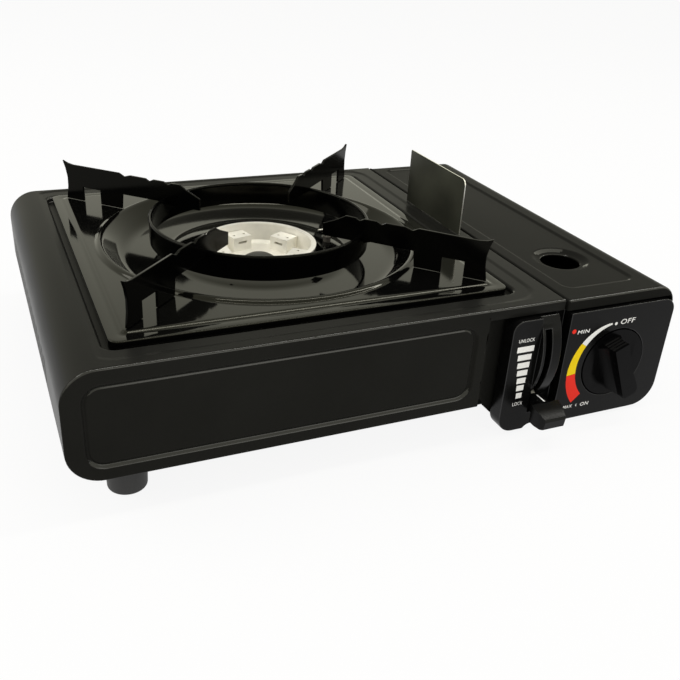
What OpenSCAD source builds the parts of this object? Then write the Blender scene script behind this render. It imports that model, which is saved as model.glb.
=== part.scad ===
// Portable butane cassette stove: a pressed steel casing with a gas cartridge bay on its right,
// a lift-out drip tray and pot trivet over the burner, and a front panel with knob and lock lever.
// X runs to the right, Y to the back and Z up. The origin is under the middle of the whole stove.

/* [Casing] */
// Width of the casing
body_w = 345; // [330:1:380]
// Depth of the casing, without panel and knob
body_d = 255.4; // [252:0.2:290]
// Height of the top plate above the table
body_h = 80.2; // [80:0.1:84]
// Height of the casing's underside below the burner
belly_h = 20.6; // [18:0.1:21]
// Height of the cartridge bay's underside
bay_h = 3.5; // [3:0.1:5]
// Thickness of the pressed sheet
sheet = 0.8; // [0.6:0.1:0.9]
// Radius of the casing's left edges
wrap_r = 17.5; // [14:0.5:19]
// Radius of the edge between top and front
edge_r = 2.6; // [2:0.2:3]
// Where the front face of the burner side ends, from the casing's right side
face_end_x = 125.5; // [125:0.5:128.5]
// Right edge of the casing's top plate, from the casing's right side
seam_x = 77.7; // [77.3:0.1:77.9]
// Air gap between parts that move past each other
play = 0.3; // [0.3:0.05:0.4]
// Number of air slots in the left wall
vent_n = 15; // [8:1:16]
// Height of one air slot
vent_h = 15; // [10:1:20]
// Width of one air slot
vent_w = 3.2; // [2:0.1:3.4]
// Distance between air slots
vent_pitch = 12; // [10:0.5:13]
// Middle of the row of air slots, from the casing's front
vent_mid_d = 150; // [130:1:155]
// Height of the middle of the air slots above the table
vent_mid_h = 47.5; // [44:0.5:52]

/* [Cartridge bay] */
// Middle of the cartridge, knob and regulator, from the casing's right side
bay_x = 38; // [37.5:0.1:38.5]
// Height of the cartridge's axis
bay_axis_h = 39; // [38.6:0.1:40]
// Radius of the gas cartridge that the bay takes
cartridge_r = 34; // [32:0.2:34.4]
// Length of the gas cartridge, valve included
cartridge_l = 185; // [180:1:186]
// Radius of the bay's lower right edge
tub_r = 11; // [8:0.5:12]
// Where the partition stands, from the casing's right side
partition_x = 80.5; // [80.1:0.1:80.7]
// Gap between the lid and the casing
seam_gap = 1; // [0.8:0.1:1.2]
// Radius of the lid's right edge
lid_r = 12; // [9:0.5:13]
// Height of the lid's lower edge on the right
lid_skirt_h = 63; // [60:0.5:66]
// Height of the lid's front lip above the table
lid_lip_h = 74; // [73.8:0.1:75]
// Radius of the sight hole in the lid
sight_r = 12; // [9:0.5:13]
// Radius of the dished edge of the sight hole
sight_dish_r = 18; // [15:0.5:20]
// Depth of the dished edge
sight_dish_h = 2.6; // [1.5:0.1:3]
// Distance of the sight hole from the front
sight_d = 53; // [48:0.5:56]
// How far the sight hole stands left of the bay's middle
sight_in = 4.2; // [0:0.1:10]
// Radius of the lid's rolled back edge
curl_r = 5; // [4.8:0.1:5.4]
// Radius of the hinge pin
hinge_pin_r = 1.5; // [1.2:0.1:1.6]
// Outer radius of the hinge knuckles
knuckle_r = 3.2; // [3:0.1:3.4]
// Length of one knuckle
knuckle_l = 6; // [5:0.5:8]

/* [Drip tray] */
// Side of the square tray
tray_w = 217.4; // [212:0.2:218]
// Corner radius of the tray
tray_r = 9; // [6:0.5:12]
// Middle of the tray, from the casing's left side
burner_x = 135.1; // [132.5:0.2:136.5]
// Middle of the tray, from the casing's front
burner_d = 129.4; // [128:0.2:132]
// Height of the tray's rim above the casing's top
tray_rim_up = 1.1; // [0.8:0.1:1.6]
// Height of the tray's flat above its rim
tray_flat_up = 0.9; // [0.6:0.1:1.2]
// Width of the rolled rim
tray_rim_w = 8; // [6:0.5:9]
// Gap all round between the tray and the casing
tray_gap = 3.2; // [2.6:0.1:3.6]
// Depth of the recess that the tray sits in
recess_h = 4; // [3.6:0.1:4.4]
// Width of the shelf that the tray rests on
shelf_w = 5; // [4:0.5:6]
// Radius of the ridge round the dish
dish_r = 94; // [92:0.5:95]
// Height of the ridge above the tray's flat
ridge_up = 2; // [1.4:0.1:2.4]
// Depth of the dish below the ridge
dish_h = 12; // [10:0.5:13]
// Radius of the flat dish floor
floor_r = 80; // [78:0.5:82]
// Radius of the hole for the burner
burner_hole_r = 38; // [37:0.5:39]

/* [Trivet] */
// Outer radius of the support ring
ring_r = 65.5; // [62:0.5:67]
// Height of the support ring's top edge above the flat of the tray
ring_up = 13.6; // [12.8:0.1:14]
// Height of the support ring's band
ring_h = 14.3; // [12:0.1:14.4]
// Thickness of the ring and of the arms
trivet_t = 1.5; // [1.2:0.1:2]
// Reach of an arm from the middle to its tip
arm_reach = 141.5; // [139:0.5:142]
// Reach of an arm's inner end from the middle
arm_nose = 41; // [40:0.5:46]
// Height of the arms above the flat of the tray
arm_up = 23.5; // [22:0.5:26]
// Height of the gap under the arms
arm_gap_h = 9.6; // [8:0.1:10.4]
// Depth of one pan notch in an arm
pan_notch = 1.7; // [1:0.1:2]

/* [Burner] */
// Outer radius of the burner bowl
bowl_r = 34.5; // [33:0.5:35]
// Height of the bowl's rim above the table
bowl_top_h = 79; // [78:0.5:80]
// Height of the burner bowl
bowl_h = 20; // [18:0.5:22]
// Number of flame port blocks in the bowl
port_n = 5; // [3:1:6]
// Radius of the mixing tube
tube_r = 8.5; // [7:0.5:9]
// Height of the mixing tube's axis
tube_h = 34; // [33.5:0.1:34]
// Bend radius of the mixing tube
tube_bend_r = 25; // [22:0.5:30]
// Radius of the gas pipe
pipe_r = 2.2; // [1.8:0.1:2.3]

/* [Front panel] */
// How far the panel stands in front of the casing
panel_out = 3.7; // [3.4:0.1:4]
// Left edge of the panel, from the casing's right side
panel_x = 112; // [110:0.5:115.5]
// Wall of the moulded panel
panel_wall = 2; // [1.6:0.1:2.2]
// Height of the panel's lower edge
panel_low_h = 2.2; // [2:0.1:3]
// Height of the panel's upper edge
panel_top_h = 72.8; // [72:0.1:73]
// How far the knob stands out of the panel
knob_out = 12; // [9:0.5:14]
// Radius of the knob's disc
knob_r = 21.2; // [19:0.1:21.4]
// Height of the knob's axis
knob_axis_h = 36.5; // [36:0.1:38]
// Direction in which the knob's grip points when off
knob_off_deg = 113; // [100:1:120]
// Turn of the knob from off to on
knob_turn_deg = 135; // [100:5:140]
// Radius of the valve spindle
spindle_r = 3; // [2.5:0.1:3.4]

/* [Lock lever] */
// Height of the lever's pivot
pivot_h = 48.2; // [47.8:0.1:48.6]
// Distance of the lever's pivot behind the casing's front
pivot_d = 35.6; // [35:0.1:36]
// Radius of the curved cover that the lever slides over
drum_r = 44; // [43.5:0.1:44.4]
// Left edge of the curved cover, from the casing's right side
drum_x = 93.5; // [92.5:0.5:94.5]
// Width of the curved cover
drum_w = 12; // [10:0.5:13]
// Width of the recess beside the curved cover
gap_w = 7; // [5:0.5:9]
// Depth of that recess below the panel's face
gap_depth = 7; // [4:0.5:8]
// Distance of the lever's blade from the left edge of the curved cover
blade_in = 3.8; // [3.6:0.1:5]
// Width of the slot in the curved cover
slot_w = 4.2; // [4:0.1:4.6]
// Angle of the lever below level when locked
lock_deg = 37; // [35:1:38]
// Angle of the lever above level when unlocked
unlock_deg = 17; // [12:1:18]
// Thickness of the lever's blade
blade_t = 2.4; // [2:0.1:2.6]
// Width of the lever's blade
blade_w = 6; // [5:0.5:6.4]
// Width of the lever's paddle
paddle_w = 17.5; // [15:0.5:19]
// How far the paddle reaches in front of the casing when locked
paddle_out = 24.3; // [22:0.1:26]
// Height of the paddle's upper edge when locked
paddle_top_h = 24.4; // [24:0.1:24.8]
// Height of the paddle's lower edge when locked
paddle_low_h = 13; // [11:0.5:14.5]
// Radius of the lever's shaft
shaft_r = 3; // [2.5:0.1:3.2]
// Length of the drive arm from shaft to pin
drive_l = 14; // [13:0.5:14.5]
// Radius of the drive pin
drive_pin_r = 2; // [1.6:0.1:2.2]

/* [Heat shield] */
// Where the shield stands, from the casing's right side
shield_x = 85.1; // [84.5:0.1:85.7]
// Length of the shield
shield_l = 71.8; // [60:0.1:80]
// Height of the shield above the top plate
shield_up = 36.3; // [28:0.1:38]
// Distance of the shield's front edge from the casing's front
shield_d = 102.4; // [98:0.1:108]
// Radius of the shield's upper front corner
shield_r = 4; // [2:0.5:8]
// Radius of the shield's upper back corner
shield_back_r = 1.2; // [0.5:0.1:8]

/* [Feet] */
// Radius of the tall feet
foot_r = 10.6; // [9:0.2:11]
// Distance of the tall feet from the casing's left
foot_in_x = 30; // [28:1:34]
// Distance of the feet from the casing's front and back
foot_in_y = 21.7; // [20:0.5:26]
// Radius of the short feet
pad_r = 8; // [6:0.5:9]

/* [Hidden] */
$fn = 64;

paint = [0.11, 0.11, 0.11];
enamel = [0.04, 0.04, 0.045];
black = [0.07, 0.07, 0.07];
steel = [0.6, 0.6, 0.6];
zinc = [0.72, 0.72, 0.7];
alloy = [0.83, 0.82, 0.78];
brass = [0.78, 0.63, 0.32];
eps = 0.05;

front_y = (paddle_out - body_d) / 2;
back_y = front_y + body_d;
left_x = -body_w / 2;
right_x = body_w / 2;
seam_at = right_x - seam_x;
face_end_at = right_x - face_end_x;
bay_mid = right_x - bay_x;
partition_at = right_x - partition_x;
panel_at = right_x - panel_x;
drum_at = right_x - drum_x;
shield_at = right_x - shield_x;
burner_mid = left_x + burner_x;
burner_y = front_y + burner_d;
function deep(d) = front_y + d;

// Extrudes a shape drawn in X and Z from y0 back to y1
module along_y(y0, y1) {
    translate([0, y1, 0]) rotate([90, 0, 0]) linear_extrude(y1 - y0) children();
}

// Extrudes a shape drawn in Y and Z from x0 right to x1
module along_x(x0, x1) {
    translate([x0, 0, 0]) rotate([90, 0, 90]) linear_extrude(x1 - x0) children();
}

// A block between two corners
module block(low, high) {
    translate(low) cube(high - low);
}

// A round rod along X, Y or Z from its first end
module rod_x(x0, x1, y, z, r) {
    translate([x0, y, z]) rotate([0, 90, 0]) cylinder(h = x1 - x0, r = r);
}
module rod_y(y0, y1, x, z, r) {
    translate([x, y0, z]) rotate([-90, 0, 0]) cylinder(h = y1 - y0, r = r);
}
module rod_z(z0, z1, x, y, r) {
    translate([x, y, z0]) cylinder(h = z1 - z0, r = r);
}

// A flat rectangle with round corners, centred
module rounded(w, d, r) {
    square([w - 2 * r, d], center = true);
    square([w, d - 2 * r], center = true);
    for (x = [-1, 1], y = [-1, 1])
        translate([x * (w / 2 - r), y * (d / 2 - r)]) circle(r);
}

// ---- Casing ----

lip_low_h = panel_top_h + 0.9;
bottom_lip = 15;
return_d = 10;
ledge_d = 7;
recess_w = tray_w + 2 * tray_gap;
recess_r = tray_r + tray_gap;
shelf_top_h = body_h - recess_h;
shelf_hole_w = tray_w - 2 * shelf_w;

// Section of the burner side, in X and Z
module wrap_section(inset, end_x) {
    x0 = left_x + inset;
    z0 = belly_h + inset;
    z1 = body_h - inset;
    r = wrap_r - inset;
    translate([x0 + r, z0]) square([end_x - x0 - r, z1 - z0]);
    translate([x0, z0 + r]) square([r, z1 - z0 - 2 * r]);
    for (z = [z0 + r, z1 - r]) translate([x0 + r, z]) circle(r);
}

// Section of the whole casing from the side, in Y and Z, with its edges rounded
module side_section(inset, y0, y1, z0, r_front, r_back) {
    low = z0 + inset;
    high = body_h - inset;
    f = r_front - inset;
    b = r_back - inset;
    translate([y0 + inset, low]) square([y1 - y0 - 2 * inset, high - low - max(f, b)]);
    translate([y0 + inset + f, low]) square([y1 - y0 - 2 * inset - f - b, high - low]);
    translate([y0 + inset, low]) square([f, high - low - f]);
    translate([y1 - inset - b, low]) square([b, high - low - b]);
    translate([y0 + inset + f, high - f]) circle(f);
    translate([y1 - inset - b, high - b]) circle(b);
}

module casing_solid(inset, end_x) {
    intersection() {
        along_y(front_y + inset, back_y - inset) wrap_section(inset, end_x);
        along_x(left_x - 1, end_x + 1) side_section(inset, front_y, back_y, belly_h, edge_r, edge_r);
    }
}

module vent_slots() {
    first_d = vent_mid_d - (vent_n - 1) * vent_pitch / 2;
    for (i = [0:vent_n - 1])
        translate([left_x, deep(first_d + i * vent_pitch), vent_mid_h])
            rotate([90, 0, 90]) translate([0, 0, -1]) linear_extrude(sheet + 2)
                rounded(vent_w, vent_h, vent_w / 2 - 0.01);
}

// Slots in the top plate for the shield's two tabs
tab_l = 10;
tab_in = 12;
tab_h = 6;
module shield_slots() {
    for (d = [shield_d + tab_in, shield_d + shield_l - tab_in - tab_l])
        block([shield_at - sheet / 2 - play, deep(d) - play, body_h - 2 * sheet],
              [shield_at + sheet / 2 + play, deep(d) + tab_l + play, body_h + 1]);
}

module body_shell() {
    color(paint) difference() {
        union() {
            difference() {
                casing_solid(0, seam_at);
                casing_solid(sheet, seam_at + 2);
                block([left_x + wrap_r + bottom_lip, front_y + bottom_lip, belly_h - 1],
                      [seam_at + 1, back_y - bottom_lip, belly_h + 2 * sheet]);
                block([face_end_at, front_y - 1, belly_h - 1],
                      [seam_at + 1, front_y + bottom_lip, lip_low_h]);
                block([face_end_at + sheet, front_y + sheet, belly_h - 1],
                      [seam_at + 1, back_y - sheet, belly_h + 2 * sheet]);
            }
            block([face_end_at - sheet, front_y + sheet / 2, belly_h],
                  [face_end_at, front_y + return_d, lip_low_h + sheet]);
            block([face_end_at - sheet, front_y + sheet / 2, lip_low_h],
                  [seam_at, front_y + ledge_d, lip_low_h + sheet]);
            translate([burner_mid, burner_y, shelf_top_h - sheet])
                linear_extrude(body_h - shelf_top_h) rounded(recess_w, recess_w, recess_r);
        }
        translate([burner_mid, burner_y, shelf_top_h])
            linear_extrude(recess_h + 1)
                rounded(recess_w - 2 * sheet, recess_w - 2 * sheet, recess_r - sheet);
        translate([burner_mid, burner_y, shelf_top_h - 2 * sheet])
            linear_extrude(recess_h) rounded(shelf_hole_w, shelf_hole_w, tray_r);
        vent_slots();
        shield_slots();
    }
}

// ---- Base pan: the plate under the burner and the deeper tub of the cartridge bay ----

tub_front_d = 7.4;
tub_back_d = body_d - sheet - 0.2;
tub_right_x = right_x - sheet - play - 0.2;
step_x = face_end_at + 3;
tub_wall_h = panel_top_h - 0.3;
hinge_d = body_d - curl_r;
hinge_h = body_h - curl_r;
curl_drop = 3;
tub_back_h = hinge_h - norm([curl_r, curl_drop]) - play;
plate_low_h = belly_h + sheet;

// Section of the tub in X and Z: a slope down from the burner plate, and a round right edge
module tub_section(inset, left) {
    low = bay_h + inset;
    high = body_h;
    slant = step_x + plate_low_h + inset * sqrt(2);
    edge = tub_right_x - inset;
    r = tub_r - inset;
    polygon([[slant - plate_low_h, plate_low_h], [slant - low, low], [edge - r, low],
             [edge - r, high], [left, high], [left, plate_low_h]]);
    translate([edge - r, low + r]) square([r, high - low - r]);
    translate([edge - r, low + r]) circle(r);
}

// Knuckles on the hinge pin, where x_list gives their left ends
module knuckles(x_list) {
    for (x = x_list) rod_x(x, x + knuckle_l, deep(hinge_d), hinge_h, knuckle_r);
}
lid_left_x = seam_at + seam_gap;
fixed_knuckle_x = [lid_left_x + 4, bay_mid - knuckle_l / 2, right_x - lid_r - knuckle_l];
lid_knuckle_x = [lid_left_x + 4 + knuckle_l + play + 0.1,
                 right_x - lid_r - 2 * knuckle_l - play - 0.1];

module base_pan() {
    color(paint) difference() {
        union() {
            block([left_x + wrap_r, deep(sheet + 0.2), plate_low_h],
                  [step_x + sheet, deep(tub_back_d), plate_low_h + sheet]);
            difference() {
                along_y(deep(tub_front_d), deep(tub_back_d)) tub_section(0, step_x);
                along_y(deep(tub_front_d + sheet), deep(tub_back_d - sheet))
                    tub_section(sheet, step_x - 2);
                block([step_x - 2, deep(tub_front_d) - 1, tub_wall_h],
                      [right_x + 1, back_y + 1, body_h + 1]);
                block([step_x - 2, deep(tub_back_d - sheet) - eps, tub_back_h],
                      [tub_right_x - sheet, back_y + 1, body_h + 1]);
                block([right_x - lid_r - 2, deep(hinge_d - curl_r - 4), tub_back_h],
                      [right_x + 1, back_y + 1, body_h + 1]);
            }
            // Tongues that carry the fixed knuckles, lapped on the back wall
            for (x = fixed_knuckle_x) {
                block([x, deep(hinge_d) + knuckle_r - sheet, tub_back_h - 4],
                      [x + knuckle_l, deep(hinge_d) + knuckle_r, hinge_h - 0.5]);
                block([x, deep(hinge_d) + knuckle_r - sheet, tub_back_h - 4],
                      [x + knuckle_l, deep(tub_back_d - sheet / 2), tub_back_h - play]);
            }
            knuckles(fixed_knuckle_x);
        }
        rod_x(lid_left_x, right_x, deep(hinge_d), hinge_h, hinge_pin_r + 0.05);
        rod_y(deep(tub_front_d) - 1, deep(tub_front_d + sheet) + 1, bay_mid, knob_axis_h,
              spindle_r + 1.5);
        block([blade_x - 3, deep(tub_front_d) - 1, pivot_h - 30],
              [blade_x + blade_t + 3, deep(tub_front_d + sheet) + 1, pivot_h + 18]);
    }
}

// ---- Partition between burner and cartridge ----

pipe_d = 27;
strip_d = 150;
strip_w = 22;
strip_h = 60;
tub_floor_h = bay_h + sheet;

module bay_partition() {
    foot = 8;
    color(steel) difference() {
        union() {
            block([partition_at, deep(tub_front_d + sheet), tub_floor_h],
                  [partition_at + sheet, deep(tub_back_d - sheet), body_h - sheet]);
            block([partition_at - foot, deep(60), tub_floor_h],
                  [partition_at + sheet / 2, deep(body_d - 12), tub_floor_h + sheet]);
        }
        rod_x(partition_at - 1, partition_at + 2, deep(pivot_d), pivot_h, shaft_r + 0.05);
        rod_x(partition_at - 1, partition_at + 2, deep(pipe_d), tube_h, pipe_r + 1);
        rod_x(partition_at - 1, partition_at + 2, deep(lead_hole_d), lead_hole_h, lead_r + 1.8);
        block([partition_at - 1, deep(strip_d) - 0.2, strip_h - 0.2],
              [partition_at + 2, deep(strip_d + strip_w) + 0.2, strip_h + sheet + 0.2]);
        for (d = [70:20:230])
            block([partition_at - 1, deep(d), 14], [partition_at + 2, deep(d + 12), 17.5]);
    }
}

// ---- Cartridge lid on its rear hinge ----

lid_front_d = -1.8;
sight_x = bay_mid - sight_in;

module lid_section(inset) {
    z1 = body_h - inset;
    edge = right_x - inset;
    r = lid_r - inset;
    low = lid_skirt_h - (inset > 0 ? 1 : 0);
    left = lid_left_x + inset;
    translate([left, low]) square([edge - r - left, z1 - low]);
    translate([edge - r, low]) square([r, z1 - r - low]);
    translate([edge - r, z1 - r]) circle(r);
}

module lid_solid(inset) {
    intersection() {
        along_y(deep(lid_front_d) + inset, back_y - inset) lid_section(inset);
        along_x(lid_left_x - 1, right_x + 1)
            side_section(inset, deep(lid_front_d), back_y, lid_skirt_h - 2, edge_r, curl_r);
    }
}

module cartridge_lid() {
    notch = play + 0.1;
    lip_d = 6;
    dish_z = body_h - sight_dish_h;
    color(paint) difference() {
        union() {
            difference() {
                lid_solid(0);
                lid_solid(sheet);
                // Open below: a short lip in front, a skirt on the right and a short edge behind
                block([lid_left_x - 1, deep(lid_front_d) - 1, 0],
                      [right_x - sheet - eps, back_y - curl_r, lid_lip_h]);
                block([lid_left_x - 1, deep(lid_front_d) - 1, 0],
                      [right_x + 1, deep(lip_d), lid_lip_h]);
                block([lid_left_x - 1, back_y - curl_r - eps, 0],
                      [right_x + 1, back_y + 1, hinge_h - curl_drop]);
                rod_z(dish_z - 4, body_h + 1, sight_x, deep(sight_d), sight_dish_r);
            }
            // Dished edge of the sight hole
            translate([sight_x, deep(sight_d), 0]) rotate_extrude()
                polygon([[sight_r, dish_z - sheet], [sight_r, dish_z], [sight_dish_r - 2, body_h],
                         [sight_dish_r + 0.3, body_h], [sight_dish_r + 0.3, body_h - sheet],
                         [sight_dish_r - 1.6, body_h - sheet], [sight_r + 1, dish_z - sheet]]);
            knuckles(lid_knuckle_x);
            for (x = lid_knuckle_x)
                block([x, deep(hinge_d) - knuckle_r, hinge_h],
                      [x + knuckle_l, deep(hinge_d) - knuckle_r + sheet, body_h - sheet / 2]);
        }
        for (x = lid_knuckle_x)
            rod_x(x - 1, x + knuckle_l + 1, deep(hinge_d), hinge_h, hinge_pin_r + 0.05);
        for (x = fixed_knuckle_x)
            block([x - notch, deep(hinge_d) - knuckle_r - 1, hinge_h - 6],
                  [x + knuckle_l + notch, back_y + 1, hinge_h + knuckle_r + 2 * notch]);
    }
}

module hinge_pin() {
    color(steel) rod_x(fixed_knuckle_x[0] + 0.5, fixed_knuckle_x[2] + knuckle_l - 0.5,
                       deep(hinge_d), hinge_h, hinge_pin_r);
}

// ---- Moulded control panel ----

panel_back_d = 6;
panel_corner = [6.5, 8, 15, 10];
channel_wall = 1.2;
channel_x1 = drum_at + drum_w;
gap_x1 = channel_x1 + gap_w;
gap_floor_d = gap_depth - panel_out;
channel_low_h = pivot_h - 35;
channel_top_h = pivot_h + 20;
blade_x = drum_at + blade_in - blade_t / 2;
cup_r = knob_r + 0.6;
cup_back_d = 1;

// Panel outline: corners in the order top left, top right, bottom right, bottom left
module panel_outline(inset) {
    x0 = panel_at + inset;
    x1 = right_x - inset;
    z0 = panel_low_h + inset;
    z1 = panel_top_h - inset;
    r = [for (c = panel_corner) c - inset];
    polygon([[x0 + r[0], z1], [x1 - r[1], z1], [x1, z1 - r[1]], [x1, z0 + r[2]],
             [x1 - r[2], z0], [x0 + r[3], z0], [x0, z0 + r[3]], [x0, z1 - r[0]]]);
    translate([x0 + r[0], z1 - r[0]]) circle(r[0]);
    translate([x1 - r[1], z1 - r[1]]) circle(r[1]);
    translate([x1 - r[2], z0 + r[2]]) circle(r[2]);
    translate([x0 + r[3], z0 + r[3]]) circle(r[3]);
}

// Part of a disc about the lever's pivot, between two angles above level, out to radius r
module pivot_wedge(r, a0, a1) {
    polygon([[deep(pivot_d), pivot_h],
             for (a = [a0, (a0 + a1) / 2, a1])
                 [deep(pivot_d) - r * cos(a), pivot_h + r * sin(a)]]);
}

module control_panel() {
    mid_x = drum_at + blade_in;
    color(black) difference() {
        union() {
            difference() {
                along_y(deep(-panel_out), deep(panel_back_d)) panel_outline(0);
                along_y(deep(-panel_out + panel_wall), deep(panel_back_d) + 1)
                    panel_outline(panel_wall);
                block([drum_at, deep(-panel_out) - 1, channel_low_h],
                      [gap_x1, deep(panel_back_d) + 1, channel_top_h]);
                block([drum_at, deep(-panel_out) - 1, channel_top_h - 1],
                      [gap_x1, deep(gap_floor_d), panel_top_h + 1]);
                rod_y(deep(-panel_out) - 1, deep(2), bay_mid, knob_axis_h, cup_r);
            }
            // Walls and lower end of the channel round the lever, and the floor beside the cover
            for (x = [drum_at - channel_wall, gap_x1])
                block([x, deep(-panel_out + panel_wall / 2), channel_low_h - channel_wall],
                      [x + channel_wall, deep(panel_back_d), panel_top_h]);
            block([drum_at - channel_wall, deep(-panel_out + panel_wall / 2),
                   channel_low_h - channel_wall],
                  [gap_x1 + channel_wall, deep(panel_back_d), channel_low_h]);
            block([channel_x1 - 1, deep(gap_floor_d), channel_low_h - channel_wall],
                  [gap_x1 + channel_wall, deep(gap_floor_d) + channel_wall, panel_top_h]);
            // Curved cover that the lever slides over
            difference() {
                rod_x(drum_at - eps, channel_x1 + eps, deep(pivot_d), pivot_h, drum_r);
                intersection() {
                    rod_x(drum_at + 1, channel_x1 - 1, deep(pivot_d), pivot_h, drum_r - 1.8);
                    block([drum_at, deep(-20), 0], [channel_x1, deep(90), panel_top_h - panel_wall]);
                }
                block([drum_at - 1, deep(panel_back_d), 0], [channel_x1 + 1, deep(90), 100]);
                block([drum_at - 1, deep(-20), 0], [channel_x1 + 1, deep(90), channel_low_h]);
                block([drum_at - 1, deep(-20), panel_top_h], [channel_x1 + 1, deep(90), 100]);
            }
            // Cup behind the knob's disc
            difference() {
                rod_y(deep(-panel_out + panel_wall / 2), deep(cup_back_d + 1.6), bay_mid,
                      knob_axis_h, cup_r + 1.6);
                rod_y(deep(-panel_out), deep(cup_back_d), bay_mid, knob_axis_h, cup_r);
            }
            // Screw bosses that reach back to the base pan
            for (p = panel_boss)
                rod_y(deep(-panel_out + panel_wall / 2), deep(tub_front_d), p[0], p[1], 3.2);
        }
        rod_y(deep(-panel_out), deep(4), bay_mid, knob_axis_h, spindle_r + 1);
        // Slot for the lever's blade
        intersection() {
            along_x(mid_x - slot_w / 2, mid_x + slot_w / 2)
                pivot_wedge(2 * drum_r, -lock_deg - 7, unlock_deg + 7);
            block([drum_at - 1, deep(-20), channel_low_h],
                  [channel_x1 + 1, deep(pivot_d - 20), channel_top_h - 1]);
        }
        for (p = panel_boss)
            rod_y(deep(0), deep(tub_front_d) + 1, p[0], p[1], 1.25);
        // Finger notch in the lower edge, under the lever
        rod_y(deep(-panel_out) - 1, deep(panel_back_d) + 1, mid_x, panel_low_h - 3.4, 6);
    }
}
boss_x0 = panel_at + 8;
boss_x1 = right_x - 9.5;
panel_boss = [[boss_x0, 66], [gap_x1 + 8, 66], [boss_x1, 64], [boss_x0, 12], [boss_x1, 14]];

// ---- Knob, spindle and igniter cam ----

// Turns its children with the knob's rest position, seen from the front
module knob_pose() {
    translate([bay_mid, 0, knob_axis_h]) rotate([0, 90 - knob_off_deg, 0]) children();
}

module control_knob() {
    disc_front = deep(-panel_out - 0.3);
    disc_back = deep(cup_back_d - play - 0.1);
    grip_front = deep(-panel_out - knob_out);
    dish_ball_r = 60;
    grip_up = knob_r - 3.6;
    grip_down = knob_r - 2.2;
    grip_l = -4.6;
    grip_r = 5;
    flare = 3.6;
    color(black) knob_pose() difference() {
        union() {
            difference() {
                rod_y(disc_front, disc_back, 0, 0, knob_r);
                // Shallow dish in the disc
                translate([0, disc_front - dish_ball_r + 1.6, 0]) sphere(dish_ball_r, $fn = 120);
            }
            // Grip: straight on its left side, waisted on its right side
            along_y(grip_front, disc_back - 0.5)
                polygon([[grip_l, grip_up], [grip_r, grip_up], [grip_r - 0.1, grip_up - 8],
                         [grip_r - 0.7, -1], [grip_r + 0.2, -7], [grip_r + 0.9, -grip_down + 5],
                         [grip_r + 0.5, -grip_down + 2], [grip_r - 1, -grip_down],
                         [grip_l + 1, -grip_down], [grip_l, -grip_down + 1]]);
            // Foot of the grip, that sweeps out to the disc on both sides
            intersection() {
                linear_extrude(2 * knob_r, center = true)
                    polygon([[grip_l + 0.5, grip_front + 3.5], [grip_l - 0.5, grip_front + 6.5],
                             [grip_l - flare / 2, grip_front + 9], [grip_l - flare, disc_front + 1],
                             [grip_l - flare, disc_back - 0.5], [grip_r + flare, disc_back - 0.5],
                             [grip_r + flare, disc_front + 1], [grip_r + flare / 2, grip_front + 9],
                             [grip_r, grip_front + 6.5], [grip_r - 1, grip_front + 3.5]]);
                along_y(grip_front, disc_back - 0.5)
                    polygon([[grip_l - flare, grip_up - 2.5], [grip_l, grip_up - 0.4],
                             [grip_r, grip_up - 0.4], [grip_r + flare, grip_up - 2.5],
                             [grip_r + flare, -grip_down + 4], [grip_r, -grip_down + 0.4],
                             [grip_l, -grip_down + 0.4], [grip_l - flare, -grip_down + 4]]);
            }
        }
        rod_y(grip_front + 4, disc_back + 1, 0, 0, spindle_r + 0.05);
        // Finger ribs on the grip's upper end
        for (y = [2.2:2.2:9]) translate([0, grip_front + y, grip_up])
            rotate([45, 0, 0]) cube([2 * knob_r, 0.9, 0.9], center = true);
    }
}

cam_d = 9.6;
cam_t = 3.4;
cam_low_r = 6;
cam_rise = 4;

module valve_spindle() {
    color(brass) rod_y(deep(-panel_out - knob_out + 4.6), deep(19.6), bay_mid, knob_axis_h, spindle_r);
}

// Cam whose radius under the plunger grows evenly as the knob turns on
module igniter_cam() {
    per_deg = cam_rise / knob_turn_deg;
    color(zinc) difference() {
        translate([bay_mid, 0, knob_axis_h]) along_y(deep(cam_d), deep(cam_d + cam_t))
            polygon([for (a = [-knob_turn_deg - 12:3:24])
                         (cam_low_r - a * per_deg) * [cos(90 + a), sin(90 + a)],
                     for (a = [60:30:180]) 5 * [cos(90 + a), sin(90 + a)]]);
        rod_y(deep(cam_d) - 1, deep(cam_d + cam_t) + 1, bay_mid, knob_axis_h, spindle_r);
    }
}

plunger_r = 1.2;
plunger_low_h = knob_axis_h + cam_low_r + 0.6;
igniter_h = 13.5;
igniter_top_h = tub_wall_h - 1;
igniter_low_h = igniter_top_h - igniter_h;
plunger_in = 6;
cam_mid_d = cam_d + cam_t / 2;

module igniter_plunger() {
    color(zinc) {
        rod_z(plunger_low_h, igniter_low_h + plunger_in, bay_mid, deep(cam_mid_d), plunger_r);
        rod_z(plunger_low_h + 6, plunger_low_h + 7.5, bay_mid, deep(cam_mid_d), plunger_r + 1);
    }
}

module igniter_body() {
    color([0.85, 0.85, 0.8]) difference() {
        block([bay_mid - 7, deep(tub_front_d + sheet), igniter_low_h],
              [bay_mid + 7, deep(tub_front_d + sheet + 8), igniter_top_h]);
        rod_z(igniter_low_h - 1, igniter_low_h + plunger_in + cam_rise + 1.5, bay_mid,
              deep(cam_mid_d), plunger_r + 0.05);
    }
}

// ---- Regulator: takes the cartridge's valve, steadies the pressure and meters the gas ----

reg_front_d = 15;
reg_back_d = 41;
reg_r = 16;
reg_cover_x = bay_mid + 20;
reg_mid_d = 28;
collar_back_d = reg_back_d + 5;
inlet_r = 4.8;
seal_r = 4.4;
seal_t = 2;
inlet_l = 6;

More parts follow.
